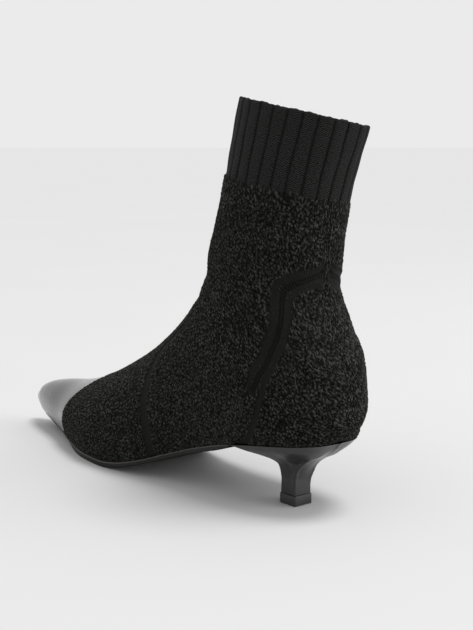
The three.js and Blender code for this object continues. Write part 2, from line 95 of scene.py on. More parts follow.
# The upper's lower edge from above: share of LENGTH, outer and inner half width over BALL_WIDTH.
OUTLINE = np.array([
    (0.012, 0, 0), (0.015, 0.11, 0.11), (0.028, 0.2, 0.21), (0.052, 0.275, 0.285),
    (0.09, 0.335, 0.34), (0.14, 0.37, 0.36), (0.2, 0.385, 0.35), (0.31, 0.375, 0.3),
    (0.4, 0.415, 0.3), (0.49, 0.48, 0.37), (0.57, 0.5, 0.45), (0.63, 0.48, 0.475),
    (0.68, 0.44, 0.46), (0.76, 0.345, 0.385), (0.85, 0.235, 0.255), (0.92, 0.155, 0.145),
    (0.97, 0.095, 0.07), (0.992, 0.055, 0.025), (1, 0.025, -0.005),
])

# Cross-sections of the upper from the toe round the ankle to the collar. Columns: base forward,
# base up, crest forward, crest up, outer, inner, belly, dome, ridge, lean. Forward is over LENGTH,
# widths over BALL_WIDTH, the crest's up over BOOT_HEIGHT. The base's up is a share of the way from
# HEEL_HEIGHT to BOOT_HEIGHT, or 0 where it lies on the sole line.
SECTIONS = np.array([
    (0.998, 0, 1.015, 0.106, 0.065, 0.04, 0.5, 2.3, 0, 0),
    (0.982, 0, 0.994, 0.132, 0.12, 0.09, 0.45, 2.3, 0, 0),
    (0.95, 0, 0.956, 0.153, 0.17, 0.145, 0.42, 2.2, 0, 0),
    (0.9, 0, 0.903, 0.168, 0.228, 0.218, 0.4, 2.1, 0.005, 0),
    (0.83, 0, 0.83, 0.182, 0.3, 0.31, 0.36, 2, 0.015, 0),
    (0.76, 0, 0.76, 0.205, 0.39, 0.415, 0.33, 1.95, 0.03, 0),
    (0.68, 0, 0.68, 0.241, 0.48, 0.495, 0.3, 1.9, 0.045, 0),
    (0.6, 0, 0.6, 0.294, 0.535, 0.505, 0.27, 1.8, 0.055, 0),
    (0.52, 0, 0.512, 0.363, 0.53, 0.46, 0.25, 1.75, 0.055, 0),
    (0.43, 0, 0.438, 0.44, 0.49, 0.41, 0.27, 1.75, 0.05, 0),
    (0.33, 0, 0.386, 0.51, 0.455, 0.39, 0.3, 1.8, 0.04, 0),
    (0.23, 0, 0.3555, 0.567, 0.445, 0.4, 0.33, 1.85, 0.03, 0),
    (0.13, 0, 0.342, 0.608, 0.445, 0.415, 0.37, 1.9, 0.02, 0),
    (0.06, 0, 0.3355, 0.634, 0.445, 0.425, 0.4, 1.95, 0.01, 0),
    (0.018, 0, 0.331, 0.655, 0.44, 0.43, 0.43, 2, 0, 0),
    (-0.006, 0.0274, 0.33, 0.67, 0.435, 0.43, 0.46, 2, 0, 0),
    (-0.02, 0.0793, 0.327, 0.69, 0.425, 0.425, 0.48, 2, 0, 0),
    (-0.017, 0.191, 0.32, 0.713, 0.41, 0.405, 0.5, 2, 0, 0.01),
    (0.019, 0.32, 0.311, 0.738, 0.395, 0.382, 0.5, 2, 0, 0.03),
    (0.047, 0.456, 0.3, 0.768, 0.385, 0.373, 0.5, 2, 0, 0.06),
    (0.043, 0.592, 0.288, 0.8, 0.39, 0.382, 0.5, 2, 0, 0.1),
    (0.03, 0.732, 0.276, 0.838, 0.395, 0.39, 0.5, 2, 0, 0.13),
    (-0.018, 0.965, 0.238, 1.036, 0.4, 0.395, 0.5, 2, 0, 0.14),
])

# How the heel widens from its top piece to the seat: rise, then shares for side, back and front.
HEEL_FLARE = np.array([
    (0, 0, 0, 0), (0.25, 0, 0, -0.02), (0.37, 0.02, 0.05, 0), (0.47, 0.07, 0.12, 0.01),
    (0.57, 0.15, 0.23, 0.04), (0.66, 0.29, 0.38, 0.12), (0.76, 0.52, 0.64, 0.28),
    (0.88, 0.8, 0.86, 0.62), (1, 1, 1, 1),
])

# The outsole's thickness: share of LENGTH, millimetres.
SOLE_DEPTH = np.array([
    (0, TONGUE_THICKNESS), (0.185, TONGUE_THICKNESS), (0.235, SHANK_THICKNESS),
    (0.45, SHANK_THICKNESS), (0.57, SOLE_THICKNESS), (0.65, SOLE_THICKNESS),
    (0.8, 2.9), (0.95, 2.2), (1, 1.8),
])

# Smooth bands in the looped knit: row of sections, share of the way round from the outer side's
# foot (0) over the crest (1), and half width in millimetres. The inner side mirrors them.
VAMP_BAND = np.array([
    (9.25, -0.02, 3.2), (9.21, 0.068, 3.2), (9.15, 0.338, 3.2), (9.05, 0.447, 3.1),
    (9.01, 0.54, 3), (9.03, 0.645, 2.8), (9.2, 0.678, 2.5), (9.66, 0.682, 2),
    (10.49, 0.675, 1.2), (11.2, 0.66, 0.3),
])
GORE_OUTER = np.array([
    (19.6, -0.02, 2.1), (19.51, 0.015, 2.1), (19.3, 0.1, 2.1), (19.07, 0.15, 2.1),
    (18.83, 0.182, 2.1), (18.56, 0.195, 2.1), (18.18, 0.207, 2.1), (17.72, 0.222, 2.1),
    (17.08, 0.245, 2.1), (16.46, 0.26, 2.1), (15.46, 0.278, 2.1), (14.36, 0.285, 1.6),
    (13.38, 0.277, 0.8),
])
GORE_INNER = np.array([
    (19.31, -0.02, 1.9), (19.2, 0.023, 1.9), (19.02, 0.087, 1.9), (18.82, 0.122, 1.9),
    (18.6, 0.142, 1.9), (18.29, 0.157, 1.9), (17.95, 0.172, 1.9), (17.46, 0.197, 1.9),
    (16.86, 0.218, 1.9), (16.09, 0.24, 1.9), (15.03, 0.25, 1.9), (13.84, 0.238, 1.9),
    (12.55, 0.168, 1.9), (11.67, 0.012, 1.9), (11.57, -0.02, 1.9),
])
LADDER = np.array([
    (19.45, -0.02, 1), (19.33, 0.043, 1), (19.13, 0.1, 1), (18.93, 0.135, 1), (18.8, 0.155, 1),
    (18.59, 0.168, 1), (18.22, 0.182, 1), (17.84, 0.195, 1), (17.33, 0.22, 1),
    (16.72, 0.238, 1), (15.84, 0.258, 1), (14.6, 0.268, 1), (13.6, 0.265, 0.6),
])


def curve(table, column, at):
    """Cubic pieces through a table's column, each slope the harmonic mean of its neighbours."""
    x, y = table[:, 0], table[:, column]
    width = np.diff(x)
    slope = np.diff(y) / width
    product = slope[:-1] * slope[1:]
    total = np.where(product > 0, slope[:-1] + slope[1:], 1)
    tangent = np.concatenate([slope[:1], np.where(product > 0, 2 * product / total, 0), slope[-1:]])
    k = np.clip(np.searchsorted(x, at, side="right") - 1, 0, len(x) - 2)
    t = np.clip((at - x[k]) / width[k], 0, 1)
    u = 1 - t
    return (
        y[k] * u * u * (1 + 2 * t)
        + y[k + 1] * t * t * (3 - 2 * t)
        + width[k] * t * u * (tangent[k] * u - tangent[k + 1] * t)
    )


def smoothstep(low, high, at):
    """0 below low, 1 above high, and 3t^2 - 2t^3 between."""
    t = np.clip((at - low) / (high - low), 0, 1)
    return t * t * (3 - 2 * t)


def sole_line(forward):
    """Height of the upper's lower edge: the ball's height plus the heel's lift and toe's spring."""
    ball = SOLE_THICKNESS + GAP
    share = forward / LENGTH
    lift = curve(SOLE_LINE, 1, share) * (HEEL_HEIGHT - ball)
    return ball + lift + curve(SOLE_LINE, 2, share) * TOE_SPRING


def edge(forward, side):
    """Half width of the upper's lower edge, on the outer side (1) or the inner side (-1)."""
    outer, inner = curve(OUTLINE, 1, forward / LENGTH), curve(OUTLINE, 2, forward / LENGTH)
    return np.where(side > 0, outer, inner) * BALL_WIDTH


ROWS = np.arange(len(SECTIONS))
ON_SOLE = SECTIONS[:, 1] == 0
BASE_FORWARD = SECTIONS[:, 0] * LENGTH
ROW_TABLE = np.column_stack([
    ROWS,
    BASE_FORWARD,
    np.where(
        ON_SOLE, sole_line(BASE_FORWARD), HEEL_HEIGHT + SECTIONS[:, 1] * (BOOT_HEIGHT - HEEL_HEIGHT)
    ),
    SECTIONS[:, 2] * LENGTH,
    SECTIONS[:, 3] * BOOT_HEIGHT,
    SECTIONS[:, 4] * BALL_WIDTH,
    SECTIONS[:, 5] * BALL_WIDTH,
    SECTIONS[:, 6],
    SECTIONS[:, 7],
    SECTIONS[:, 8] * BALL_WIDTH,
    SECTIONS[:, 9],
    np.where(ON_SOLE, edge(BASE_FORWARD, 1), BACK_STRIP),
    np.where(ON_SOLE, edge(BASE_FORWARD, -1), BACK_STRIP),
])
BELLY_SHARE = 1 / 3  # height of the widest place in a section's way from foot to crest
HALVINGS = 26  # steps that close in on a place by halves


def upper_surface(row, around):
    """The outside of the upper. A section runs up from its foot as a quarter sine to its widest
    place, and on as a quarter of a superellipse to the crest. around is 0 at the outer side's
    foot, 1 at the crest, 2 at the inner side's foot."""
    row, around = np.broadcast_arrays(np.asarray(row, float), np.asarray(around, float))
    base_forward, base_up = curve(ROW_TABLE, 1, row), curve(ROW_TABLE, 2, row)
    crest_forward, crest_up = curve(ROW_TABLE, 3, row), curve(ROW_TABLE, 4, row)
    belly, dome, ridge, lean = (curve(ROW_TABLE, k, row) for k in (7, 8, 9, 10))
    side = np.where(around <= 1, 1.0, -1.0)
    low = row < ANKLE_ROW
    base_up = np.where(low, sole_line(base_forward), base_up)
    wide = np.where(side > 0, curve(ROW_TABLE, 5, row), curve(ROW_TABLE, 6, row))
    strip = np.where(side > 0, curve(ROW_TABLE, 11, row), curve(ROW_TABLE, 12, row))
    foot = np.where(low, edge(base_forward, side), strip)
    height = 1 - np.abs(1 - around)
    below = np.clip(height / BELLY_SHARE, 0, 1) * np.pi / 2
    above = np.clip((height - BELLY_SHARE) / (1 - BELLY_SHARE), 0, 1) * np.pi / 2
    up = np.sin(above) ** (2 / dome)
    out = np.maximum(np.cos(above), 0) ** (2 / dome)
    lower = height < BELLY_SHARE
    outward = np.where(
        lower, foot + (wide - foot) * np.sin(below), wide * out - side * ridge * up**2
    )
    share = np.where(lower, belly * (1 - np.cos(below)), belly + (1 - belly) * up)
    across = side * outward
    run, rise = crest_forward - base_forward, crest_up - base_up
    reach = np.hypot(run, rise)
    forward = base_forward + run * share - lean * across * rise / reach
    return np.stack(
        [HEEL_SETBACK - forward, -across, base_up + rise * share + lean * across * run / reach], -1
    )


def unit(vectors):
    """Vectors scaled to length 1."""
    return vectors / np.maximum(np.linalg.norm(vectors, axis=-1, keepdims=True), 1e-9)


def normals(grid, closed):
    """Outward unit normals of a grid of points: the cross product of its two directions."""
    if closed:
        round_ = np.roll(grid, -1, 1) - np.roll(grid, 1, 1)
    else:
        round_ = np.gradient(grid, axis=1)
    return unit(np.cross(np.gradient(grid, axis=0), round_))


def seam_row(around):
    """Row of sections where the toe cap's seam, a parabola from above, crosses the surface."""
    low, high = (np.full(around.shape, float(row)) for row in SEAM_ROWS)
    for _ in range(HALVINGS):
        middle = (low + high) / 2
        place = upper_surface(middle, around)
        share = np.minimum(np.abs(-place[..., 1] - CAP_CROWN_SHIFT) / CAP_CROWN_WIDTH, 1)
        seam = LENGTH - CAP_LENGTH - CAP_CROWN * (1 - share**2)
        ahead = HEEL_SETBACK - place[..., 0] > seam
        low, high = np.where(ahead, middle, low), np.where(ahead, high, middle)
    return (low + high) / 2


def even_around(rows, count):
    """Places round each section that lie evenly along its length, one row of them per section."""
    fine = np.linspace(0, 2, 901)
    line = upper_surface(rows[:, None], fine[None, :])
    step = np.linalg.norm(np.diff(line, axis=1), axis=2)
    reach = np.concatenate([np.zeros((len(rows), 1)), np.cumsum(step, 1)], 1)
    share = np.linspace(0, 1, count)
    return np.array([np.interp(share * r[-1], r, fine) for r in reach])


def cell_noise(points, size, seed):
    """Worley noise: distances to the nearest and the second nearest of points scattered one to a
    cubic cell, over the cell's size, and the nearest point's own random number."""
    place = points / size
    cell = np.floor(place).astype(np.int64)
    nearest, second = np.full(len(points), 9.0), np.full(len(points), 9.0)
    chance = np.zeros(len(points))
    for shift in np.ndindex(3, 3, 3):
        near = cell + np.array(shift) - 1
        key = near @ np.array([73856093, 19349663, 83492791]) ^ (seed * 2654435761)
        numbers = []
        for _ in range(4):
            key = ((key ^ (key >> 15)) * 73244475) & 0xFFFFFFFF
            numbers.append((key ^ (key >> 16)) / 2**32)
        away = np.linalg.norm(near + np.stack(numbers[:3], 1) - place, axis=1)
        closer = away < nearest
        second = np.where(closer, nearest, np.minimum(second, away))
        nearest = np.where(closer, away, nearest)
        chance = np.where(closer, numbers[3], chance)
    return nearest, second, chance


def band_distance(points, band, mirrored):
    """Distance from the nearest place of a band's path, the band's half width there, and the
    distance along the path, all in millimetres."""
    line = np.linspace(0, len(band) - 1, 12 * len(band))
    spread = np.column_stack([np.arange(len(band)), band])
    row, around, half = (curve(spread, k, line) for k in (1, 2, 3))
    path = upper_surface(row, np.maximum(2 - around if mirrored else around, 0))
    step = np.linalg.norm(np.diff(path, axis=0), axis=1)
    reach = np.concatenate([[0], np.cumsum(step)])
    best = np.full(len(points), 1e9)
    along = np.zeros(len(points))
    width = np.ones(len(points))
    for k in range(len(path) - 1):
        span = path[k + 1] - path[k]
        t = np.clip((points - path[k]) @ span / max(span @ span, 1e-9), 0, 1)
        away = np.linalg.norm(points - path[k] - t[:, None] * span, axis=1)
        closer = away < best
        best = np.where(closer, away, best)
        along = np.where(closer, reach[k] + t * step[k], along)
        width = np.where(closer, half[k] + t * (half[k + 1] - half[k]), width)
    return best, width, along


# Soft folds of the worn knit: row of sections, share of the way round, half width
# and depth in millimetres. They lie across the bend of the ankle and over the heel on both sides.
HEEL_FOLD = np.array([
    (18.1, 0.02, 4, 0.6), (17.7, 0.12, 4, 0.6), (17, 0.3, 4, 0.5), (16, 0.5, 4, 0),
])
FOLDS = (
    np.array([
        (15.6, 0.3, 5, 0), (14.2, 0.5, 5, 0.5), (12.9, 0.75, 5, 0.8), (12.5, 1, 5, 0.9),
        (12.9, 1.25, 5, 0.8), (14.2, 1.5, 5, 0.5), (15.6, 1.7, 5, 0),
    ]),
    np.array([
        (12.6, 0.45, 4.5, 0), (11.4, 0.65, 4.5, 0.5), (10.7, 0.85, 4.5, 0.7), (10.6, 1, 4.5, 0.7),
        (10.7, 1.15, 4.5, 0.7), (11.4, 1.35, 4.5, 0.5), (12.6, 1.55, 4.5, 0),
    ]),
    HEEL_FOLD,
    np.abs(HEEL_FOLD - np.array([0, 2, 0, 0])),
)


def folded(points):
    """Depth of the soft folds: each is depth * exp(-(distance / half width)^2) about its path."""
    flat = points.reshape(-1, 3)
    sunk = np.zeros(len(flat))
    for fold in FOLDS:
        away, half, along = band_distance(flat, fold[:, :3], False)
        share = along / max(along.max(), 1e-9) * (len(fold) - 1)
        sunk += np.interp(share, np.arange(len(fold)), fold[:, 3]) * np.exp(-((away / half) ** 2))
    return sunk.reshape(points.shape[:2])


# How the knit's cells are turned and stretched, so that they don't lie along the boot's axes.
CELL_TURN = np.array([[0.86, 0.3, -0.41], [-0.22, 0.95, 0.24], [0.46, -0.11, 0.88]])
CELL_STRETCH = np.array([1, 1.12, 0.84])
CELL_SEED = 3  # of the scattered loops
LADDER_COLUMN = 1.5  # between the ladder's columns of holes
LADDER_RUNG = 1.3  # between the holes in a column
BACK_SEAM = 0.7  # half width of the seam up the back


def looped_height(points, size, height):
    """Height of looped yarn over the smooth surface, how far up its loop a place lies, and how
    much of a smooth band it lies in. Loops are domes over scattered points; the bands press them
    flat, with rows of small holes along the ladder."""
    flat = points.reshape(-1, 3)
    skewed = flat @ CELL_TURN * CELL_STRETCH
    wobble = 0.35 * size * np.sin(flat[:, [1, 2, 0]] / 3.1 + flat[:, [2, 0, 1]] / 4.3)
    near, second, chance = cell_noise(skewed + wobble, size, CELL_SEED)
    # A gap runs where two loops are equally near.
    dome = np.sqrt(np.clip(1 - (near / 1.25) ** 2, 0, 1))
    loop = smoothstep(-0.08, 0.3, second - near) * dome * (0.85 + 0.2 * chance)
    rise = height * (1.4 * loop - 1)
    band = np.zeros(len(flat))
    hole = np.zeros(len(flat))
    for mirrored in (False, True):
        for path in (VAMP_BAND, GORE_OUTER, GORE_INNER):
            away, half, _ = band_distance(flat, path, mirrored)
            band = np.maximum(band, 1 - smoothstep(0.7, 1.15, away / half + 0.22 * (loop - 0.5)))
        away, half, along = band_distance(flat, LADDER, mirrored)
        band = np.maximum(band, 1 - smoothstep(1.7, 2.5, away))
        columns = 0.5 + 0.5 * np.cos(2 * np.pi * away / LADDER_COLUMN)
        columns = (1 - columns) * (1 - smoothstep(1.4, 1.9, away))
        hole = np.maximum(hole, columns * (0.5 + 0.5 * np.cos(2 * np.pi * along / LADDER_RUNG)))
    # The seam up the middle of the back, where the sections close.
    behind = smoothstep(0, 6, flat[:, 0]) * np.exp(-((flat[:, 1] / BACK_SEAM) ** 2))
    rise = rise * (1 - band) - 0.8 * height * band - 0.4 * height * hole - 0.45 * height * behind
    shape = points.shape[:2]
    return (
        rise.reshape(shape),
        np.clip(loop, 0, 1).reshape(shape),
        band.reshape(shape),
        hole.reshape(shape),
    )


def grid_faces(rows, columns, closed, first=0):
    """Four-sided faces of a grid of points, closed round its columns or open."""
    across = columns if closed else columns - 1
    i, j = np.meshgrid(np.arange(rows - 1), np.arange(across), indexing="ij")
    nxt = (j + 1) % columns
    this, above = i * columns, (i + 1) * columns
    faces = np.stack([this + j, this + nxt, above + nxt, above + j], -1)
    return faces.reshape(-1, 4) + first


def tube_faces(rows, columns):
    """Faces of a grid closed round its columns, with one flat face over each end."""
    last = (rows - 1) * columns
    ends = [list(range(columns))[::-1], list(range(last, last + columns))]
    return grid_faces(rows, columns, True).tolist() + ends


def shell(outer, inner, step, closed):
    """A wall between a fine outer grid and an inner grid that has one point for each step of it,
    joined along their edges. Returns points, faces and each face's kind: outer 0, inner 1."""
    rows, columns = outer.shape[:2]
    few_rows, few_columns = inner.shape[:2]
    first = rows * columns

    def at(i, j):
        return i * columns + j % columns

    def into(i, j):
        return first + i * few_columns + j % few_columns

    faces = grid_faces(rows, columns, closed).tolist()
    kinds = [0] * len(faces)
    back = grid_faces(few_rows, few_columns, closed, first)[:, ::-1].tolist()
    faces += back
    kinds += [1] * len(back)
    edges = []
    for j in range(few_columns if closed else few_columns - 1):
        span = list(range(step * j, step * (j + 1) + 1))
        edges.append([at(0, k) for k in reversed(span)] + [into(0, j), into(0, j + 1)])
        last = [at(rows - 1, k) for k in span]
        edges.append(last + [into(few_rows - 1, j + 1), into(few_rows - 1, j)])
    for i in range(0 if closed else few_rows - 1):
        span = list(range(step * i, step * (i + 1) + 1))
        edges.append([at(k, 0) for k in span] + [into(i + 1, 0), into(i, 0)])
        last = [at(k, columns - 1) for k in reversed(span)]
        edges.append(last + [into(i, few_columns - 1), into(i + 1, few_columns - 1)])
    points = np.concatenate([outer.reshape(-1, 3), inner.reshape(-1, 3)])
    return points, faces + edges, kinds + [0] * len(edges)


def make_piece(name, points, faces, materials, kinds=None, values=None, uv=None, crease=50):
    """Puts points in millimetres and faces into a mesh, turned outwards by its signed volume."""
    mesh = bpy.data.meshes.new(name)
    mesh.from_pydata((points * MM).tolist(), [], faces)
    fans = [(f[0], f[k], f[k + 1]) for f in faces for k in range(1, len(f) - 1)]
    a, b, c = (points[np.array(fans)[:, k]] for k in range(3))
    if np.einsum("ij,ij->i", a, np.cross(b, c)).sum() < 0:
        mesh.flip_normals()
    for material in materials:
        mesh.materials.append(material)
    if kinds is not None:
        mesh.polygons.foreach_set("material_index", np.array(kinds, dtype=np.int32))
    for key, data in (values or {}).items():
        layer = mesh.attributes.new(key, "FLOAT", "POINT")
        layer.data.foreach_set("value", np.asarray(data, dtype=np.float32))
    if uv is not None:
        corners = np.empty(len(mesh.loops), dtype=np.int32)
        mesh.loops.foreach_get("vertex_index", corners)
        layer = mesh.uv_layers.new(name="stitch")
        layer.data.foreach_set("uv", uv[corners].astype(np.float32).ravel())
    mesh.shade_smooth()
    mesh.set_sharp_from_angle(angle=np.radians(crease))
    mesh.update()
    piece = bpy.data.objects.new(name, mesh)
    bpy.context.scene.collection.objects.link(piece)
    return piece


def stands_for(piece, node):
    """The piece rides on the boot's body and hides its CAD node."""
    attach(piece, "root")
    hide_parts(node)


def linear(code):
    """An sRGB hex colour as linear red, green and blue."""
    shade = np.array([int(code[k : k + 2], 16) for k in (1, 3, 5)]) / 255
    return tuple(np.where(shade <= 0.04045, shade / 12.92, ((shade + 0.055) / 1.055) ** 2.4))


def put(material, kind, inputs=None, stops=(), **settings):
    """Adds a node with its settings, socket values or links, and colour stops."""
    made = material.node_tree.nodes.new("ShaderNode" + kind)
    for key, value in settings.items():
        setattr(made, key, value)
    for key, value in (inputs or {}).items():
        if isinstance(value, bpy.types.NodeSocket):
            material.node_tree.links.new(value, made.inputs[key])
        else:
            made.inputs[key].default_value = value
    for number, (place, shade) in enumerate(stops):
        ramp = made.color_ramp.elements
        stop = ramp[number] if number < len(ramp) else ramp.new(place)
        stop.position = place
        stop.color = (*shade, 1)
    return made


def new_material(name):
    """A material with an empty node tree."""
    material = bpy.data.materials.new(name)
    material.use_nodes = True
    material.node_tree.nodes.clear()
    return material


def scaled(shade, factor):
    """A colour made darker or lighter by a factor."""
    return tuple(min(channel * factor, 1) for channel in shade)


# Looped yarn of wool and acrylic, dyed black. Matt, with painted shade in the gaps between the
# loops and a painted highlight on their tops.
def looped_yarn(look):
    material = new_material("looped_wool_yarn")
    shade = tuple(look.yarn_colour)
    place = put(material, "TexCoord").outputs["Object"]
    loop, band, hole = (
        put(material, "Attribute", attribute_name=name).outputs["Fac"]
        for name in ("loop", "band", "hole")
    )
    # The loops' twist shows as strands 0.8 mm apart, leaning one way, each painted lighter at its
    # middle as a highlight.
    lean = put(
        material,
        "Mapping",
        {"Vector": place, "Rotation": (0.5, 0.4, 0.7), "Scale": (1.5, 0.85, 0.75)},
    )
    small = put(
        material,
        "TexVoronoi",
        {"Vector": lean.outputs["Vector"], "Scale": 1 / (0.8 * MM)},
        feature="DISTANCE_TO_EDGE",
    )
    # Fibres are 0.03 mm; drawn 0.45 mm coarse to show in the render.
    fibre = put(material, "TexNoise", {"Vector": place, "Scale": 1 / (0.45 * MM), "Detail": 2.0})
    patch = put(material, "TexNoise", {"Vector": place, "Scale": 1 / (9 * MM), "Detail": 1.0})
    top = put(
        material,
        "MapRange",
        {"Value": small.outputs["Distance"], "From Min": 0.0, "From Max": 0.3, "To Max": 0.3},
    )
    half = put(
        material, "Math", {0: loop, 1: 0.85, 2: top.outputs["Result"]}, operation="MULTIPLY_ADD"
    )
    # In the bands the stitches are flat and show as a faint grain.
    plain = put(
        material, "MapRange", {"Value": top.outputs["Result"], "To Min": 0.4, "To Max": 1.0}
    )
    level = put(
        material,
        "MapRange",
        {"Value": band, "To Min": half.outputs[0], "To Max": plain.outputs["Result"]},
    )
    # Painted shade in the ladder's holes.
    gap = put(material, "Math", {0: hole, 1: 0.5}, operation="MULTIPLY")
    drop = put(
        material, "Math", {0: level.outputs["Result"], 1: gap.outputs[0]}, operation="SUBTRACT"
    )
    # Painted shade and highlight: from near black in the gaps between loops to fourteen times the
    # shade on the loops' tops.
    tone = put(
        material,
        "ValToRGB",
        {"Fac": drop.outputs[0]},
        stops=[
            (0.13, scaled(shade, 0.07)),
            (0.44, scaled(shade, 1.7)),
            (0.72, scaled(shade, 4.3)),
            (1.0, scaled(shade, 14)),
        ],
    )
    cloud = put(
        material,
        "ValToRGB",
        {"Fac": patch.outputs["Fac"]},
        stops=[(0.35, (0.82, 0.82, 0.82)), (0.7, (1, 1, 1))],
    )
    mix = put(
        material,
        "MixRGB",
        {"Fac": 1.0, "Color1": tone.outputs["Color"], "Color2": cloud.outputs["Color"]},
        blend_type="MULTIPLY",
    )
    relief = put(
        material,
        "Math",
        {0: fibre.outputs["Fac"], 1: 0.3, 2: drop.outputs[0]},
        operation="MULTIPLY_ADD",
    )
    bump = put(
        material,
        "Bump",
        {"Height": relief.outputs[0], "Strength": 1.0, "Distance": 1.1 * MM},
    )
    shader = put(material, "BsdfPrincipled", {
        "Base Color": mix.outputs["Color"],
        "Roughness": 0.7,
        "Specular IOR Level": 0.08,
        "Normal": bump.outputs["Normal"],
    })
    put(material, "OutputMaterial", {"Surface": shader.outputs["BSDF"]})
    return material


STITCH_WIDTH = 1.3  # of the cuff's V stitches
STITCH_HEIGHT = 1.1


# Ribbed knit of the same yarn, spun tighter: flat columns of small V stitches, slightly smoother
# and lighter than the loops, with painted shade in their hollows and grooves and a painted
# highlight on their tops.
def ribbed_yarn(look):
    material = new_material("ribbed_wool_knit")
    shade = tuple(look.cuff_colour)
    stitch = put(material, "UVMap", uv_map="stitch").outputs["UV"]
    parts = put(material, "SeparateXYZ", {"Vector": stitch})
    # The UV map is in millimetres.
    column = put(material, "Math", {0: parts.outputs["X"], 1: STITCH_WIDTH}, operation="PINGPONG")
    slant = put(material, "Math", {0: column.outputs[0], 1: 0.9}, operation="MULTIPLY")
    raised = put(material, "Math", {0: parts.outputs["Y"], 1: slant.outputs[0]}, operation="ADD")
    turn = put(
        material,
        "Math",
        {0: raised.outputs[0], 1: 2 * np.pi / STITCH_HEIGHT},
        operation="MULTIPLY",
    )
    wave = put(material, "Math", {0: turn.outputs[0]}, operation="SINE")
    fibre = put(material, "TexNoise", {"Vector": stitch, "Scale": 1.1, "Detail": 3.0})
    height = put(
        material,
        "Math",
        {0: wave.outputs[0], 1: 0.3, 2: fibre.outputs["Fac"]},
        operation="MULTIPLY_ADD",
    )
    groove = put(material, "Attribute", attribute_name="groove").outputs["Fac"]
    # Painted shade and highlight: the stitches run from a fifth of the shade in their hollows to
    # six times it on their tops.
    tone = put(
        material,
        "ValToRGB",
        {"Fac": height.outputs[0]},
        stops=[(0.2, scaled(shade, 0.2)), (0.5, scaled(shade, 1.3)), (0.8, scaled(shade, 6))],
    )
    # Painted shade in the grooves between the ribs.
    groove_shade = put(
        material,
        "MixRGB",
        {"Fac": groove, "Color1": tone.outputs["Color"], "Color2": (*scaled(shade, 0.35), 1)},
    )
    bump = put(
        material, "Bump", {"Height": height.outputs[0], "Strength": 1.0, "Distance": 0.6 * MM}
    )
    shader = put(material, "BsdfPrincipled", {
        "Base Color": groove_shade.outputs["Color"],
        "Roughness": 0.7,
        "Specular IOR Level": 0.08,
        "Normal": bump.outputs["Normal"],
    })
    put(material, "OutputMaterial", {"Surface": shader.outputs["BSDF"]})
    return material


# Plain knit lining, brushed. Matt and even.
def lining_knit(look):
    material = new_material("brushed_lining_knit")
    shade = tuple(look.lining_colour)
    place = put(material, "TexCoord").outputs["Object"]
    grain = put(material, "TexNoise", {"Vector": place, "Scale": 1 / (0.8 * MM), "Detail": 2.0})
    tone = put(
        material,
        "ValToRGB",
        {"Fac": grain.outputs["Fac"]},
        stops=[(0.3, scaled(shade, 0.7)), (0.7, scaled(shade, 1.2))],
    )
    bump = put(
        material,
        "Bump",
        {"Height": grain.outputs["Fac"], "Strength": 0.5, "Distance": 0.3 * MM},
    )
    shader = put(material, "BsdfPrincipled", {
        "Base Color": tone.outputs["Color"],
        "Roughness": 0.9,
        "Specular IOR Level": 0.25,
        "Normal": bump.outputs["Normal"],
    })
    put(material, "OutputMaterial", {"Surface": shader.outputs["BSDF"]})
    return material


# Box calf, glazed and polished. Nearly mirror-smooth, with long soft waves from lasting and a
# pore grain that only just breaks the reflection.
def polished_calf(look):
    material = new_material("polished_box_calf")
    shade = tuple(look.leather_colour)
    place = put(material, "TexCoord").outputs["Object"]
    # Pores lie 0.5 mm apart; drawn 0.8 mm apart to show in the render.
    pores = put(material, "TexVoronoi", {"Vector": place, "Scale": 1 / (0.8 * MM)})
    long_way = put(
        material, "Mapping", {"Vector": place, "Rotation": (0, 0.25, 0.45), "Scale": (0.16, 1, 1)}
    )
    streak = put(
        material,
        "TexNoise",
        {"Vector": long_way.outputs["Vector"], "Scale": 1 / (0.9 * MM), "Detail": 3.0},
    )
    gloss = put(
        material,
        "MapRange",
        {
            "Value": streak.outputs["Fac"],
            "From Min": 0.3,
            "From Max": 0.7,
            "To Min": 0.24,
            "To Max": 0.32,
        },
    )
    tone = put(
        material,
        "ValToRGB",
        {"Fac": streak.outputs["Fac"]},
        stops=[(0.3, scaled(shade, 0.8)), (0.7, scaled(shade, 1.3))],
    )
    grain = put(
        material,
        "Bump",
        {"Height": pores.outputs["Distance"], "Strength": 0.05, "Distance": 0.1 * MM},
    )
    bump = put(
        material,
        "Bump",
        {
            "Height": streak.outputs["Fac"],
            "Strength": 0.1,
            "Distance": 0.4 * MM,
            "Normal": grain.outputs["Normal"],
        },
    )
    shader = put(material, "BsdfPrincipled", {
        "Base Color": tone.outputs["Color"],
        "Roughness": gloss.outputs["Result"],
        "IOR": 1.5,
        "Coat Weight": 0.6,
        "Coat Roughness": 0.12,
        "Normal": bump.outputs["Normal"],
    })
    put(material, "OutputMaterial", {"Surface": shader.outputs["BSDF"]})
    return material


# Sole leather and rubber, edge-inked black-brown, with a painted highlight as a paler line along
# its top edge.
def inked_sole(look):
    material = new_material("edge_inked_sole")
    shade = tuple(look.sole_colour)
    place = put(material, "TexCoord").outputs["Object"]
    rim = put(material, "Attribute", attribute_name="rim").outputs["Fac"]
    grain = put(material, "TexNoise", {"Vector": place, "Scale": 1 / (1.2 * MM), "Detail": 3.0})
    tone = put(
        material,
        "ValToRGB",
        {"Fac": grain.outputs["Fac"]},
        stops=[(0.3, scaled(shade, 0.7)), (0.7, scaled(shade, 1.3))],
    )
    # Painted highlight along the top edge, where the rim attribute is set.
    mix = put(
        material,
        "MixRGB",
        {"Fac": rim, "Color1": tone.outputs["Color"], "Color2": (*look.sole_edge_highlight_colour, 1)},
    )
    bump = put(
        material,
        "Bump",
        {"Height": grain.outputs["Fac"], "Strength": 0.25, "Distance": 0.2 * MM},
    )
    shader = put(material, "BsdfPrincipled", {
        "Base Color": mix.outputs["Color"],
        "Roughness": 0.6,
        "Specular IOR Level": 0.3,
        "Normal": bump.outputs["Normal"],
    })
    put(material, "OutputMaterial", {"Surface": shader.outputs["BSDF"]})
    return material


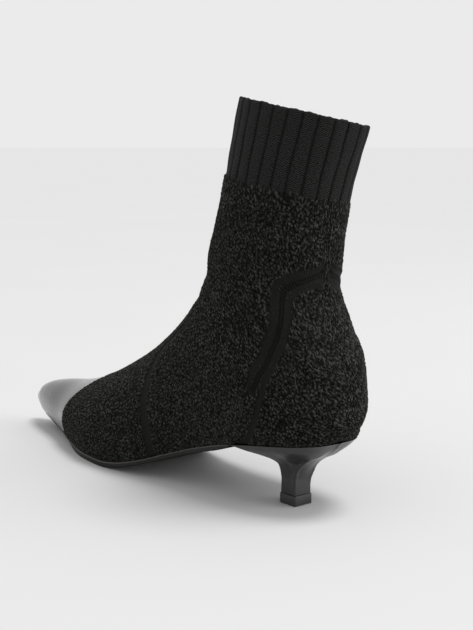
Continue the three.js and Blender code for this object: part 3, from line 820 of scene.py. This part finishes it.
# ABS moulded in a polished tool and lacquered: even black, satin, with soft unevenness.
def lacquered_abs(look):
    material = new_material("lacquered_abs")
    shade = tuple(look.heel_colour)
    place = put(material, "TexCoord").outputs["Object"]
    cloud = put(material, "TexNoise", {"Vector": place, "Scale": 1 / (6 * MM), "Detail": 2.0})
    gloss = put(
        material,
        "MapRange",
        {
            "Value": cloud.outputs["Fac"],
            "From Min": 0.3,
            "From Max": 0.7,
            "To Min": 0.26,
            "To Max": 0.36,
        },
    )
    # Orange peel of the lacquer, 0.9 mm across.
    peel = put(material, "TexNoise", {"Vector": place, "Scale": 1 / (0.9 * MM), "Detail": 1.0})
    bump = put(
        material, "Bump", {"Height": peel.outputs["Fac"], "Strength": 0.06, "Distance": 0.1 * MM}
    )
    tone = put(
        material,
        "ValToRGB",
        {"Fac": cloud.outputs["Fac"]},
        stops=[(0.3, scaled(shade, 0.9)), (0.7, scaled(shade, 1.15))],
    )
    shader = put(material, "BsdfPrincipled", {
        "Base Color": tone.outputs["Color"],
        "Roughness": gloss.outputs["Result"],
        "IOR": 1.53,
        "Coat Weight": 0.25,
        "Coat Roughness": 0.2,
        "Normal": bump.outputs["Normal"],
    })
    put(material, "OutputMaterial", {"Surface": shader.outputs["BSDF"]})
    return material


# Polyurethane top piece, sanded to the heel's outline. Matt and fine-grained.
def top_piece_rubber(look):
    material = new_material("polyurethane_top_piece")
    shade = tuple(look.tip_colour)
    place = put(material, "TexCoord").outputs["Object"]
    grain = put(material, "TexNoise", {"Vector": place, "Scale": 1 / (0.6 * MM), "Detail": 2.0})
    tone = put(
        material,
        "ValToRGB",
        {"Fac": grain.outputs["Fac"]},
        stops=[(0.3, scaled(shade, 0.8)), (0.7, scaled(shade, 1.2))],
    )
    bump = put(
        material, "Bump", {"Height": grain.outputs["Fac"], "Strength": 0.2, "Distance": 0.15 * MM}
    )
    shader = put(material, "BsdfPrincipled", {
        "Base Color": tone.outputs["Color"],
        "Roughness": 0.55,
        "Normal": bump.outputs["Normal"],
    })
    put(material, "OutputMaterial", {"Surface": shader.outputs["BSDF"]})
    return material


# Sheepskin sock lining over the insole board: soft, fine grain, lightly worn.
def insole_sheepskin(look):
    material = new_material("insole_sheepskin")
    shade = tuple(look.insole_colour)
    place = put(material, "TexCoord").outputs["Object"]
    grain = put(material, "TexVoronoi", {"Vector": place, "Scale": 1 / (1 * MM)})
    cloud = put(material, "TexNoise", {"Vector": place, "Scale": 1 / (12 * MM), "Detail": 3.0})
    tone = put(
        material,
        "ValToRGB",
        {"Fac": cloud.outputs["Fac"]},
        stops=[(0.3, scaled(shade, 0.75)), (0.7, scaled(shade, 1.2))],
    )
    bump = put(
        material,
        "Bump",
        {"Height": grain.outputs["Distance"], "Strength": 0.3, "Distance": 0.15 * MM},
    )
    shader = put(material, "BsdfPrincipled", {
        "Base Color": tone.outputs["Color"],
        "Roughness": 0.6,
        "Normal": bump.outputs["Normal"],
    })
    put(material, "OutputMaterial", {"Surface": shader.outputs["BSDF"]})
    return material


# Seamless paper sweep: matt, very pale, all but even.
def pale_paper(look):
    material = new_material("pale_paper")
    shade = tuple(look.floor_colour)
    place = put(material, "TexCoord").outputs["Object"]
    cloud = put(material, "TexNoise", {"Vector": place, "Scale": 4.0, "Detail": 1.0})
    tone = put(
        material,
        "ValToRGB",
        {"Fac": cloud.outputs["Fac"]},
        stops=[(0.3, scaled(shade, 0.99)), (0.7, shade)],
    )
    shader = put(material, "BsdfPrincipled", {
        "Base Color": tone.outputs["Color"],
        "Roughness": 1.0,
        "Specular IOR Level": 0.0,
    })
    put(material, "OutputMaterial", {"Surface": shader.outputs["BSDF"]})
    return material


def colour(name, description, code):
    """A colour property with an sRGB hex default."""
    return FloatVectorProperty(
        name=name, description=description, default=linear(code), subtype="COLOR", min=0, max=1
    )


def size(name, description, millimetres, top):
    """A length property in metres with its default in millimetres."""
    return FloatProperty(
        name=name,
        description=description,
        default=millimetres * MM,
        min=0,
        max=top * MM,
        precision=5,
        subtype="DISTANCE",
        unit="LENGTH",
    )


class BootKnitSettings(bpy.types.PropertyGroup):
    loop_width: size("Loop width", "Distance between the knit's loops", 1.5, 6)
    loop_height: size("Loop height", "How far the loops stand up", 0.7, 3)
    yarn_colour: colour("Yarn", "Colour of the looped yarn", "#10100f")
    lining_colour: colour("Lining", "Colour of the lining inside the boot", "#1d1c1c")
    cuff_colour: colour("Cuff yarn", "Colour of the ribbed cuff", "#131413")
    rib_depth: size("Rib depth", "Depth of the grooves between the cuff's ribs", 0.65, 3)


class BootCapSettings(bpy.types.PropertyGroup):
    tuck: size("Tuck", "How far the leather dips where it meets the knit", 0.6, 2)
    leather_colour: colour("Leather", "Colour of the toe cap's leather", "#141415")


class BootBottomSettings(bpy.types.PropertyGroup):
    sole_colour: colour("Sole", "Colour of the outsole's inked edge", "#0d0b09")
    # The sole line is a painted highlight along the outsole's top edge.
    sole_edge_highlight_colour: colour("Sole line", "Colour of the waxed line on the outsole", "#4a4744")
    heel_colour: colour("Heel", "Colour of the moulded heel", "#1c1c1d")
    tip_colour: colour("Top piece", "Colour of the heel's top piece", "#2b2b2c")
    insole_colour: colour("Insole", "Colour of the insole's leather", "#2a2725")


class BootStageSettings(bpy.types.PropertyGroup):
    floor_colour: colour("Floor", "Colour of the floor", "#c7c7c7")
    key_power: FloatProperty(
        name="Key light", description="Strength of the main soft light", default=1.85, min=0
    )
    fill_power: FloatProperty(
        name="Fill light",
        description="Power of the soft box beside the heel",
        default=7.0,
        min=0,
        unit="POWER",
    )
    sky: FloatProperty(
        name="Sky", description="Strength of the light all round", default=0.83, min=0
    )


LOOP_STEP = 8  # points of the outer grid to one of the lining's
EDGE_ROLL = 1.5  # radius of the knit's turned edges
EDGE_DROP = 0.7  # how far they sink below the surface
RAGGED_REACH = 2.0  # depth of the ragged loops at the top edge


def looped_wall(name, rows, around, closed, look, at_edge=None):
    """One length of the looped knit: the upper's surface, raised along its normals by the loops,
    with the lining a wall's thickness inside it. The knit rolls down to its first row (0) or its
    last row (-1) of points in a quarter circle."""
    base = upper_surface(rows, around)
    if closed:
        count = 2 * LOOP_STEP * 2
        t = np.linspace(0, 1, count + 1)[None, 1:-1, None]
        base = np.concatenate([base, base[:, -1:] * (1 - t) + base[:, :1] * t], 1)
    normal = normals(base, closed)
    loops, up, band, hole = looped_height(base, look.loop_width / MM, look.loop_height / MM)
    loops = loops - folded(base)
    if at_edge is not None:
        from_edge = np.linalg.norm(base - base[at_edge][None], axis=-1)
        roll = np.sqrt(np.clip(1 - (1 - np.clip(from_edge / EDGE_ROLL, 0, 1)) ** 2, 0, 1))
        loops = loops * roll - EDGE_DROP * (1 - roll) ** 2
    outer = base + normal * loops[..., None]
    if at_edge == -1:
        # Loops at the top edge stand over the cuff by their own heights.
        upward = unit(base[-1] - base[-2])
        ragged = (1 - smoothstep(0, RAGGED_REACH, from_edge)) * (2.6 * up - 0.9)
        outer = outer + ragged[..., None] * upward
    every = (slice(None, None, LOOP_STEP), slice(None, None, LOOP_STEP))
    inner = (base - normal * KNIT_WALL)[every]
    points, faces, kinds = shell(outer, inner, LOOP_STEP, closed)
    rest = len(points) - outer[..., 0].size
    # The loop attribute drives the yarn's painted shade and highlight, the hole attribute the
    # painted shade in the ladder's holes.
    values = {
        key: np.concatenate([data.ravel(), np.full(rest, lining)])
        for key, data, lining in (("loop", up, 0.3), ("band", band, 0.0), ("hole", hole, 0.0))
    }
    materials = [bpy.data.materials["looped_wool_yarn"], bpy.data.materials["brushed_lining_knit"]]
    piece = make_piece(name, points, faces, materials, kinds, values, crease=80)
    stands_for(piece, "upper")
    return piece


class BOOT_OT_looped_knit(bpy.types.Operator):
    """Knits the looped part of the upper, from the toe cap's seam to the cuff"""

    bl_idname = "boot.looped_knit"
    bl_label = "Looped knit"

    def execute(self, context):
        look = context.scene.boot_knit
        looped_yarn(look)
        lining_knit(look)
        count = 50 * LOOP_STEP + 1
        a = np.linspace(0, 1, 23 * LOOP_STEP + 1)
        around = even_around(CAP_ROW + (VAMP_ROW - CAP_ROW) * a, count)
        start = seam_row(around)
        rows = start + (VAMP_ROW - start) * a[:, None]
        looped_wall("upper_vamp", rows, around, False, look, 0)
        rows = np.linspace(VAMP_ROW, ANKLE_ROW, 27 * LOOP_STEP + 1)
        looped_wall("upper_quarters", rows[:, None], even_around(rows, count), False, look)
        rows = np.linspace(ANKLE_ROW, CUFF_ROW, 25 * LOOP_STEP + 1)
        looped_wall("upper_shaft", rows[:, None], even_around(rows, count), True, look, -1)
        return {"FINISHED"}


POINTS_PER_RIB = 16
CUFF_UNDERLAP = 0.14  # how far the cuff runs down behind the loops, in rows of sections
GROOVE_WIDTH = 0.07  # as a share of a rib
RIM_HEIGHT = 0.9  # of the rolled rim over the cuff's top


class BOOT_OT_cuff(bpy.types.Operator):
    """Knits the ribbed cuff with its rolled rim"""

    bl_idname = "boot.cuff"
    bl_label = "Ribbed cuff"

    def execute(self, context):
        look = context.scene.boot_knit
        material = ribbed_yarn(look)
        lining = bpy.data.materials["brushed_lining_knit"]
        count = RIB_COUNT * POINTS_PER_RIB
        rows = np.linspace(CUFF_ROW - CUFF_UNDERLAP, len(SECTIONS) - 1, 57)
        fine = even_around(rows, 801)
        ring = upper_surface(rows[:, None], fine)
        ring = np.concatenate([ring, ring[:, :1]], 1)
        step = np.linalg.norm(np.diff(ring, axis=1), axis=2)
        reach = np.concatenate([np.zeros((len(rows), 1)), np.cumsum(step, 1)], 1)
        share = np.arange(count) / count
        base = np.array([
            np.stack([np.interp(share * r[-1], r, line[:, k]) for k in range(3)], -1)
            for r, line in zip(reach, ring)
        ])
        normal = normals(base, True)
        # Grooves wander a little, and no two ribs stand up quite alike.
        rise = np.linspace(0, 1, len(rows))[:, None]
        turn = 2 * np.pi * share[None, :]
        wander = 0.03 * np.sin(5 * turn + 3 * rise) + 0.012 * np.sin(11 * turn - 9 * rise)
        phase = (share * RIB_COUNT + wander) % 1
        from_groove = np.minimum(phase, 1 - phase)
        groove = np.exp(-((from_groove / GROOVE_WIDTH) ** 2))
        crown = 0.25 * np.sin(np.pi * phase) ** 0.6
        depth = CUFF_STEP + look.rib_depth / MM * groove - crown
        soft = 0.12 * np.sin(3 * turn + 6 * rise) + 0.1 * np.sin(7 * turn + 17 * rise)
        wave = 0.2 * np.sin(9 * turn + 1) + 0.2 * np.sin(23 * turn) + 0.12 * np.sin(61 * turn)
        rim = (-0.6 + wave - 0.35 * groove) * smoothstep(0.9, 1, rise)
        outer = base - normal * (depth + soft)[..., None]
        upward = unit(base[-1] - base[-2])
        outer = outer + rim[..., None] * upward
        inner = base - normal * (CUFF_STEP + CUFF_WALL + 0.5 * (depth - CUFF_STEP))[..., None]
        inner[-1] += (rim[..., None] * upward)[-1]
        top_out, top_in = outer[-1], inner[-1]
        bend = np.linspace(0, np.pi, 9)[1:-1, None, None]
        middle, half = (top_out + top_in) / 2, (top_out - top_in) / 2
        roll = middle + half * np.cos(bend) + upward * RIM_HEIGHT * np.sin(bend)
        wall = np.concatenate([outer, roll, inner[::-1]])
        faces = grid_faces(len(wall), count, True)
        last = (len(wall) - 1) * count
        j = np.arange(count)
        foot = np.stack([last + j, last + (j + 1) % count, (j + 1) % count, j], -1)
        faces = np.concatenate([faces, foot])
        spread = np.cumsum(np.linalg.norm(np.diff(wall[:, 0], axis=0), axis=1))
        up = np.concatenate([[0], spread])
        around = share * reach.mean(0)[-1]
        uv = np.stack(np.broadcast_arrays(around[None, :], up[:, None]), -1).reshape(-1, 2)
        inside = np.arange(len(faces)) >= (len(outer) + len(roll)) * count
        # Painted shade for the grooves between the ribs, which the ribbed yarn's colour reads.
        groove_shade = 0.7 * np.concatenate([groove, groove[-1:].repeat(len(roll), 0), groove[::-1]])
        piece = make_piece(
            "upper_cuff",
            wall.reshape(-1, 3),
            faces.tolist(),
            [material, lining],
            inside.astype(int),
            {"groove": groove_shade.ravel()},
            uv,
            crease=80,
        )
        stands_for(piece, "upper")
        return {"FINISHED"}


NOSE_ROW = 0.8  # row of sections that the nose starts from
NOSE_TIP = np.array([-250.4, -0.8, 16.2])  # the boot's foremost point
NOSE_REACH = 4.4  # how far the nose's curves run straight on
NOSE_WALL = 0.35  # the leather's thickness at the nose


def nose(ring, onward, centre, tip):
    """Cubic Bezier curves from a ring to the tip. They leave along the surface and arrive square
    to the toe's line."""
    t = np.linspace(0, 0.97, 15)[1:][::-1, None, None]
    spread = (ring - centre) * np.array([0.15, 1, 1])
    return (
        (1 - t) ** 3 * ring
        + 3 * (1 - t) ** 2 * t * (ring + NOSE_REACH * unit(onward))
        + 3 * (1 - t) * t**2 * (tip + 0.5 * spread)
        + t**3 * tip
    )


class BOOT_OT_toe_cap(bpy.types.Operator):
    """Lasts the polished leather cap over the toes"""

    bl_idname = "boot.toe_cap"
    bl_label = "Toe cap"

    def execute(self, context):
        look = context.scene.boot_cap
        material = polished_calf(look)
        count = 161
        a = np.linspace(0, 1, 121)
        around = even_around(NOSE_ROW + (CAP_ROW + 0.2 - NOSE_ROW) * a, count)
        rows = NOSE_ROW + (seam_row(around) - NOSE_ROW) * a[:, None] ** 1.1
        base = upper_surface(rows, around)
        normal = normals(base, False)
        edge_away = np.linalg.norm(base - base[-1:], axis=-1)
        dip = look.tuck / MM * (1 - smoothstep(0, 2.6, edge_away))
        outer = base - normal * (CAP_DROP + dip)[..., None]
        centre = outer[0].mean(0)
        onward = outer[0] - outer[1]
        outer = np.concatenate([nose(outer[0], onward, centre, NOSE_TIP), outer])
        # The wall thins to the nose.
        thin = CAP_DROP + NOSE_WALL + (CAP_WALL - NOSE_WALL) * smoothstep(0, 0.2, a)
        inner = base - normal * thin[:, None, None]
        inner_tip = NOSE_TIP + np.array([1, 0, 0])
        inner = np.concatenate([nose(inner[0], onward, centre, inner_tip), inner])
        wall = np.concatenate([outer, inner[::-1]])
        faces = grid_faces(len(wall), count, False).tolist()
        # The strips along both feet join the outside to the inside.
        last = count - 1
        for i in range(len(outer) - 1):
            k = len(wall) - 1 - i
            strip = [i * count, (i + 1) * count, (k - 1) * count, k * count]
            faces.append(strip)
            faces.append([strip[m] + last for m in (1, 0, 3, 2)])
        # The two poles at the nose, and the narrow wall between them.
        foot = (len(wall) - 1) * count
        faces.append(list(range(count))[::-1])
        faces.append([foot + k for k in range(count)])
        faces.append([last, 0, foot, foot + last])
        piece = make_piece("toe_cap_leather", wall.reshape(-1, 3), faces, [material], crease=60)
        stands_for(piece, "toe_cap")
        return {"FINISHED"}


SOLE_SETBACK = 1.6  # from the toe point back to the outsole's front end
SOLE_ROUND = 8.1  # length over which the front end narrows
SOLE_ROUND_START = 9.6  # from the toe point back to where it starts to
SOLE_TUCK = 1.1  # how far the edge draws in ahead of the ball
SOLE_BEVEL = 2.2  # how far the underside draws in there
EDGE_HIGHLIGHT_LEVEL = 0.82  # share of the thickness above which the edge carries the painted highlight
# The rounded edge: inset in millimetres and level as a share of the thickness.
SOLE_EDGE = np.array([
    (0.9, 1), (0.3, 1), (0.08, 0.95), (0, 0.84), (0, 0.8), (0.02, 0.6), (0, 0.36), (0.12, 0.18),
    (0.42, 0.05), (0.9, 0),
])


class BOOT_OT_outsole(bpy.types.Operator):
    """Cuts the outsole, from the toe to the tongue over the heel"""

    bl_idname = "boot.outsole"
    bl_label = "Outsole"

    def execute(self, context):
        look = context.scene.boot_bottom
        material = inked_sole(look)
        shoulder = HEEL_SEAT_LENGTH + GAP
        tongue = np.linspace(HEEL_SEAT_LENGTH - TONGUE_LAP, shoulder - 0.1, 8)
        t = np.linspace(0, 1, 150)
        ahead = (LENGTH - SOLE_SETBACK - shoulder) * np.sin(t * np.pi / 2) ** 0.9
        forward = np.concatenate([tongue, shoulder + ahead])
        top = sole_line(forward) - GAP
        thick = curve(SOLE_DEPTH, 1, forward / LENGTH)
        # Ahead of the heel the edge closes up to the knit.
        top = top + 0.8 * GAP * (forward > shoulder)
        thick = thick + 0.8 * GAP * (forward > shoulder)
        rings = []
        for side in (1, -1):
            on_tongue = forward < shoulder
            # Ahead of the ball the edge tucks in under the upper.
            tuck = smoothstep(0.68, 0.82, forward / LENGTH)
            wide = edge(forward, side) + SOLE_MARGIN - SOLE_TUCK * tuck
            half = np.where(on_tongue, TONGUE_WIDTH / 2, wide)
            end = np.clip((forward - LENGTH + SOLE_ROUND_START) / SOLE_ROUND, 0, 1)
            half = np.maximum(half * np.sqrt(1 - end**2), 0.5)
            order = SOLE_EDGE if side > 0 else SOLE_EDGE[::-1]
            inset = order[None, :, 0] + SOLE_BEVEL * tuck[:, None] * (1 - order[None, :, 1]) ** 1.5
            # Near the front end the whole edge shrinks with the sole's width.
            inset = inset * np.minimum(1, 0.45 * half / inset.max(1))[:, None]
            out = side * (half[:, None] - inset)
            up = (top - thick)[:, None] + thick[:, None] * order[None, :, 1]
            behind = np.broadcast_to(HEEL_SETBACK - forward[:, None], up.shape)
            rings.append(np.stack([behind, -out, up], -1))
        wall = np.concatenate(rings, 1)
        faces = tube_faces(*wall.shape[:2])
        # The top of the rounded edge carries the painted highlight.
        rim = np.concatenate([SOLE_EDGE[:, 1], SOLE_EDGE[::-1, 1]]) > EDGE_HIGHLIGHT_LEVEL
        values = {"rim": np.broadcast_to(rim.astype(float), wall.shape[:2]).ravel()}
        piece = make_piece(
            "outsole_edge", wall.reshape(-1, 3), faces, [material], None, values, crease=40
        )
        stands_for(piece, "outsole")
        return {"FINISHED"}


POCKET_MARGIN = 1.2  # round the outsole's tongue
RIDGE_HEIGHT = 0.9  # of the ridge down the heel's flare
HOLLOW_DEPTH = 0.5  # of the hollow before it
# The top piece's edge: inset and height.
TOP_PIECE_EDGE = np.array([
    (0.5, 0), (0.15, 0.15), (0, 0.5), (0, 0.5 * TOP_PIECE_HEIGHT), (0, TOP_PIECE_HEIGHT - 0.4),
    (0.12, TOP_PIECE_HEIGHT - 0.12), (0.35, TOP_PIECE_HEIGHT),
])


def square_reach(turn, half):
    """Distance from the middle of a square with bevelled corners to its edge."""
    ahead, out = np.abs(np.cos(turn)), np.abs(np.sin(turn))
    return half / np.maximum(np.maximum(ahead, out), (ahead + out) / CORNER)


def seat_reach(turn):
    """Distance from the middle of the stem to the seat's edge from above, halved in."""
    side = np.where(np.sin(turn) >= 0, 1, -1)
    low, high = np.zeros(turn.shape), np.full(turn.shape, BALL_WIDTH)
    for _ in range(HALVINGS):
        reach = (low + high) / 2
        forward = HEEL_SETBACK + reach * np.cos(turn)
        width = edge(forward + SEAT_MARGIN, side) + SEAT_MARGIN
        inside = (forward < HEEL_SEAT_LENGTH) & (forward > SEAT_BACK)
        inside &= reach * np.abs(np.sin(turn)) < width
        low, high = np.where(inside, reach, low), np.where(inside, high, reach)
    return low


class BOOT_OT_heel(bpy.types.Operator):
    """Moulds the heel, with its top piece and the wings beside the outsole's tongue"""

    bl_idname = "boot.heel"
    bl_label = "Heel and top piece"

    def execute(self, context):
        look = context.scene.boot_bottom
        turn = np.linspace(0, 2 * np.pi, 145)[:-1]
        rise = np.linspace(0, 1, 61)[:, None]
        foot = TOP_PIECE_HEIGHT + GAP
        stem, seat = square_reach(turn, TOP_PIECE_WIDTH / 2 - HEEL_INSET), seat_reach(turn)
        side, back, front = (curve(HEEL_FLARE, k, rise) for k in (1, 2, 3))
        lengthwise = back + (front - back) * smoothstep(-0.5, 0.5, np.cos(turn))
        forward = HEEL_SETBACK + (stem + (seat - stem) * lengthwise) * np.cos(turn)
        outward = (stem + (seat - stem) * side) * np.sin(turn)
        top = sole_line(forward) - GAP
        up = foot + (top - foot) * rise
        # A ridge from the stem's rear corners that curves back up the flare, and a soft hollow
        # before it that leans forward.
        for hand in (1, -1):
            place = np.where(np.sin(turn) * hand >= 0, np.arccos(np.cos(turn)), -9)
            line = 0.75 * np.pi + 0.2 * np.pi * smoothstep(0.3, 0.95, rise)
            window = smoothstep(0.12, 0.4, rise) * (1 - smoothstep(0.75, 0.98, rise))
            bulge = RIDGE_HEIGHT * window * np.exp(-np.abs(place - line) / 0.1)
            line = 0.68 * np.pi - 0.35 * smoothstep(0.2, 0.8, rise)
            bulge = bulge - HOLLOW_DEPTH * window * np.exp(-(((place - line) / 0.13) ** 2))
            forward = forward + bulge * np.cos(turn)
            outward = outward + bulge * np.sin(turn)
        shrink = np.linspace(1, 0, 30)[1:-1, None]
        seat_forward = HEEL_SETBACK + (forward[-1] - HEEL_SETBACK) * shrink
        seat_outward = outward[-1] * shrink
        forward = np.concatenate([forward, seat_forward])
        outward = np.concatenate([outward, seat_outward])
        up = np.concatenate([up, sole_line(seat_forward) - GAP])
        level = np.concatenate([rise[:, 0], np.ones(len(shrink))])[:, None]
        # The seat is cut lower under the outsole's tongue.
        pocket = smoothstep(0, 1, TONGUE_WIDTH / 2 + POCKET_MARGIN - np.abs(outward))
        pocket *= smoothstep(0, 1, forward - (HEEL_SEAT_LENGTH - TONGUE_LAP - POCKET_MARGIN))
        up = up - (TONGUE_THICKNESS + 2 * GAP) * pocket * smoothstep(0.9, 1, level)
        wall = np.stack([HEEL_SETBACK - forward, -outward, up], -1)
        faces = tube_faces(*wall.shape[:2])
        material = lacquered_abs(look)
        piece = make_piece("heel_moulding", wall.reshape(-1, 3), faces, [material], crease=45)
        stands_for(piece, "heel")
        # The top piece: the square pulled in at its upper and lower edges by a quarter circle.
        reach = square_reach(turn, TOP_PIECE_WIDTH / 2)[None, :] - TOP_PIECE_EDGE[:, :1]
        up = np.broadcast_to(TOP_PIECE_EDGE[:, 1:], reach.shape)
        wall = np.stack([-reach * np.cos(turn), -reach * np.sin(turn), up], -1)
        faces = tube_faces(*wall.shape[:2])
        material = top_piece_rubber(look)
        piece = make_piece("top_piece", wall.reshape(-1, 3), faces, [material], crease=45)
        stands_for(piece, "heel_tip")
        return {"FINISHED"}


class BOOT_OT_insole(bpy.types.Operator):
    """Covers the insole with its leather sock"""

    bl_idname = "boot.insole"
    bl_label = "Insole"

    def execute(self, context):
        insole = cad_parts["insole"]
        insole.data.materials.clear()
        insole.data.materials.append(insole_sheepskin(context.scene.boot_bottom))
        return {"FINISHED"}


# The camera was fitted to the boot's sole, heel and collar. Degrees and millimetres.
CAMERA_TURN = 47.19
CAMERA_AWAY = 594.3
CAMERA_HEIGHT = 179.8
CAMERA_YAW = 2.913
CAMERA_PITCH = 7.967
CAMERA_PIXELS = 1200.0  # focal length in pixels of the picture
PICTURE_HEIGHT = 630.0
SENSOR_HEIGHT = 36.0  # of the camera
FLOOR_HALF = 240000.0  # so wide that its far edge meets the horizon
# In metres: what the lights point at, and where they hang.
LIGHT_TARGET = Vector((-0.09, 0, 0.07))
KEY_LIGHT = Vector((0.25, 0.25, 1.5))
KEY_ANGLE = 22.0  # degrees across, which sets how soft its shadow is
SOFT_BOX = Vector((0.95, 0.8, 0.5))
SOFT_BOX_SIZE = 1.1


class BOOT_OT_stage(bpy.types.Operator):
    """Lays the floor, hangs the lights and sets up the camera"""

    bl_idname = "boot.stage"
    bl_label = "Stage"

    def execute(self, context):
        look = context.scene.boot_stage
        scene = context.scene
        corners = np.array([(-1, -1, 0), (1, -1, 0), (1, 1, 0), (-1, 1, 0)]) * FLOOR_HALF
        floor = make_piece("floor", corners, [[0, 1, 2, 3]], [pale_paper(look)])
        turn, yaw, pitch = np.radians([CAMERA_TURN, CAMERA_YAW, CAMERA_PITCH])
        away = Vector((-np.sin(turn), np.cos(turn), 0))
        place = -away * CAMERA_AWAY * MM + Vector((0, 0, CAMERA_HEIGHT * MM))
        level = Matrix.Rotation(yaw, 3, "Z") @ away
        forward = level * np.cos(pitch) + Vector((0, 0, -np.sin(pitch)))
        right = forward.cross(Vector((0, 0, 1))).normalized()
        up = right.cross(forward)
        data = bpy.data.cameras.new("camera")
        data.sensor_fit = "VERTICAL"
        data.sensor_height = SENSOR_HEIGHT
        data.lens = CAMERA_PIXELS * SENSOR_HEIGHT / PICTURE_HEIGHT
        data.clip_start = 0.01
        camera = bpy.data.objects.new("camera", data)
        turned = Matrix((right, up, -forward)).transposed().to_4x4()
        turned.translation = place
        camera.matrix_world = turned
        scene.collection.objects.link(camera)
        scene.camera = camera
        key = bpy.data.lights.new("key_light", "SUN")
        key.energy, key.angle = look.key_power, np.radians(KEY_ANGLE)
        box = bpy.data.lights.new("soft_box", "AREA")
        box.energy, box.size = look.fill_power, SOFT_BOX_SIZE
        for lamp, spot in ((key, KEY_LIGHT), (box, SOFT_BOX)):
            light = bpy.data.objects.new(lamp.name, lamp)
            light.location = spot
            light.rotation_euler = (LIGHT_TARGET - spot).to_track_quat("-Z", "Y").to_euler()
            scene.collection.objects.link(light)
        world = bpy.data.worlds.new("studio")
        world.use_nodes = True
        background = world.node_tree.nodes["Background"].inputs
        background["Color"].default_value = (1, 1, 1, 1)
        background["Strength"].default_value = look.sky
        scene.world = world
        scene.view_settings.view_transform = "Standard"
        return {"FINISHED"}


SETTINGS = (
    ("boot_knit", BootKnitSettings),
    ("boot_cap", BootCapSettings),
    ("boot_bottom", BootBottomSettings),
    ("boot_stage", BootStageSettings),
)

OPERATORS = (
    BOOT_OT_looped_knit,
    BOOT_OT_cuff,
    BOOT_OT_toe_cap,
    BOOT_OT_outsole,
    BOOT_OT_heel,
    BOOT_OT_insole,
    BOOT_OT_stage,
)


class BOOT_PT_panel(bpy.types.Panel):
    """Lists the boot's pieces and their settings"""

    bl_idname = "BOOT_PT_panel"
    bl_label = "Knit Ankle Boot"
    bl_space_type = "VIEW_3D"
    bl_region_type = "UI"
    bl_category = "Boot"

    def draw(self, context):
        for operator in OPERATORS:
            self.layout.operator(operator.bl_idname)
        for group, _ in SETTINGS:
            box = self.layout.box()
            settings = getattr(context.scene, group)
            for name in settings.__annotations__:
                box.prop(settings, name)


def register():
    for name, group in SETTINGS:
        bpy.utils.register_class(group)
        setattr(bpy.types.Scene, name, PointerProperty(type=group))
    for cls in (*OPERATORS, BOOT_PT_panel):
        bpy.utils.register_class(cls)


def unregister():
    for cls in (*OPERATORS, BOOT_PT_panel):
        bpy.utils.unregister_class(cls)
    for name, group in SETTINGS:
        delattr(bpy.types.Scene, name)
        bpy.utils.unregister_class(group)


def main():
    register()
    for operator in OPERATORS:
        getattr(bpy.ops.boot, operator.bl_idname.removeprefix("boot."))()


if __name__ == "__main__":
    main()
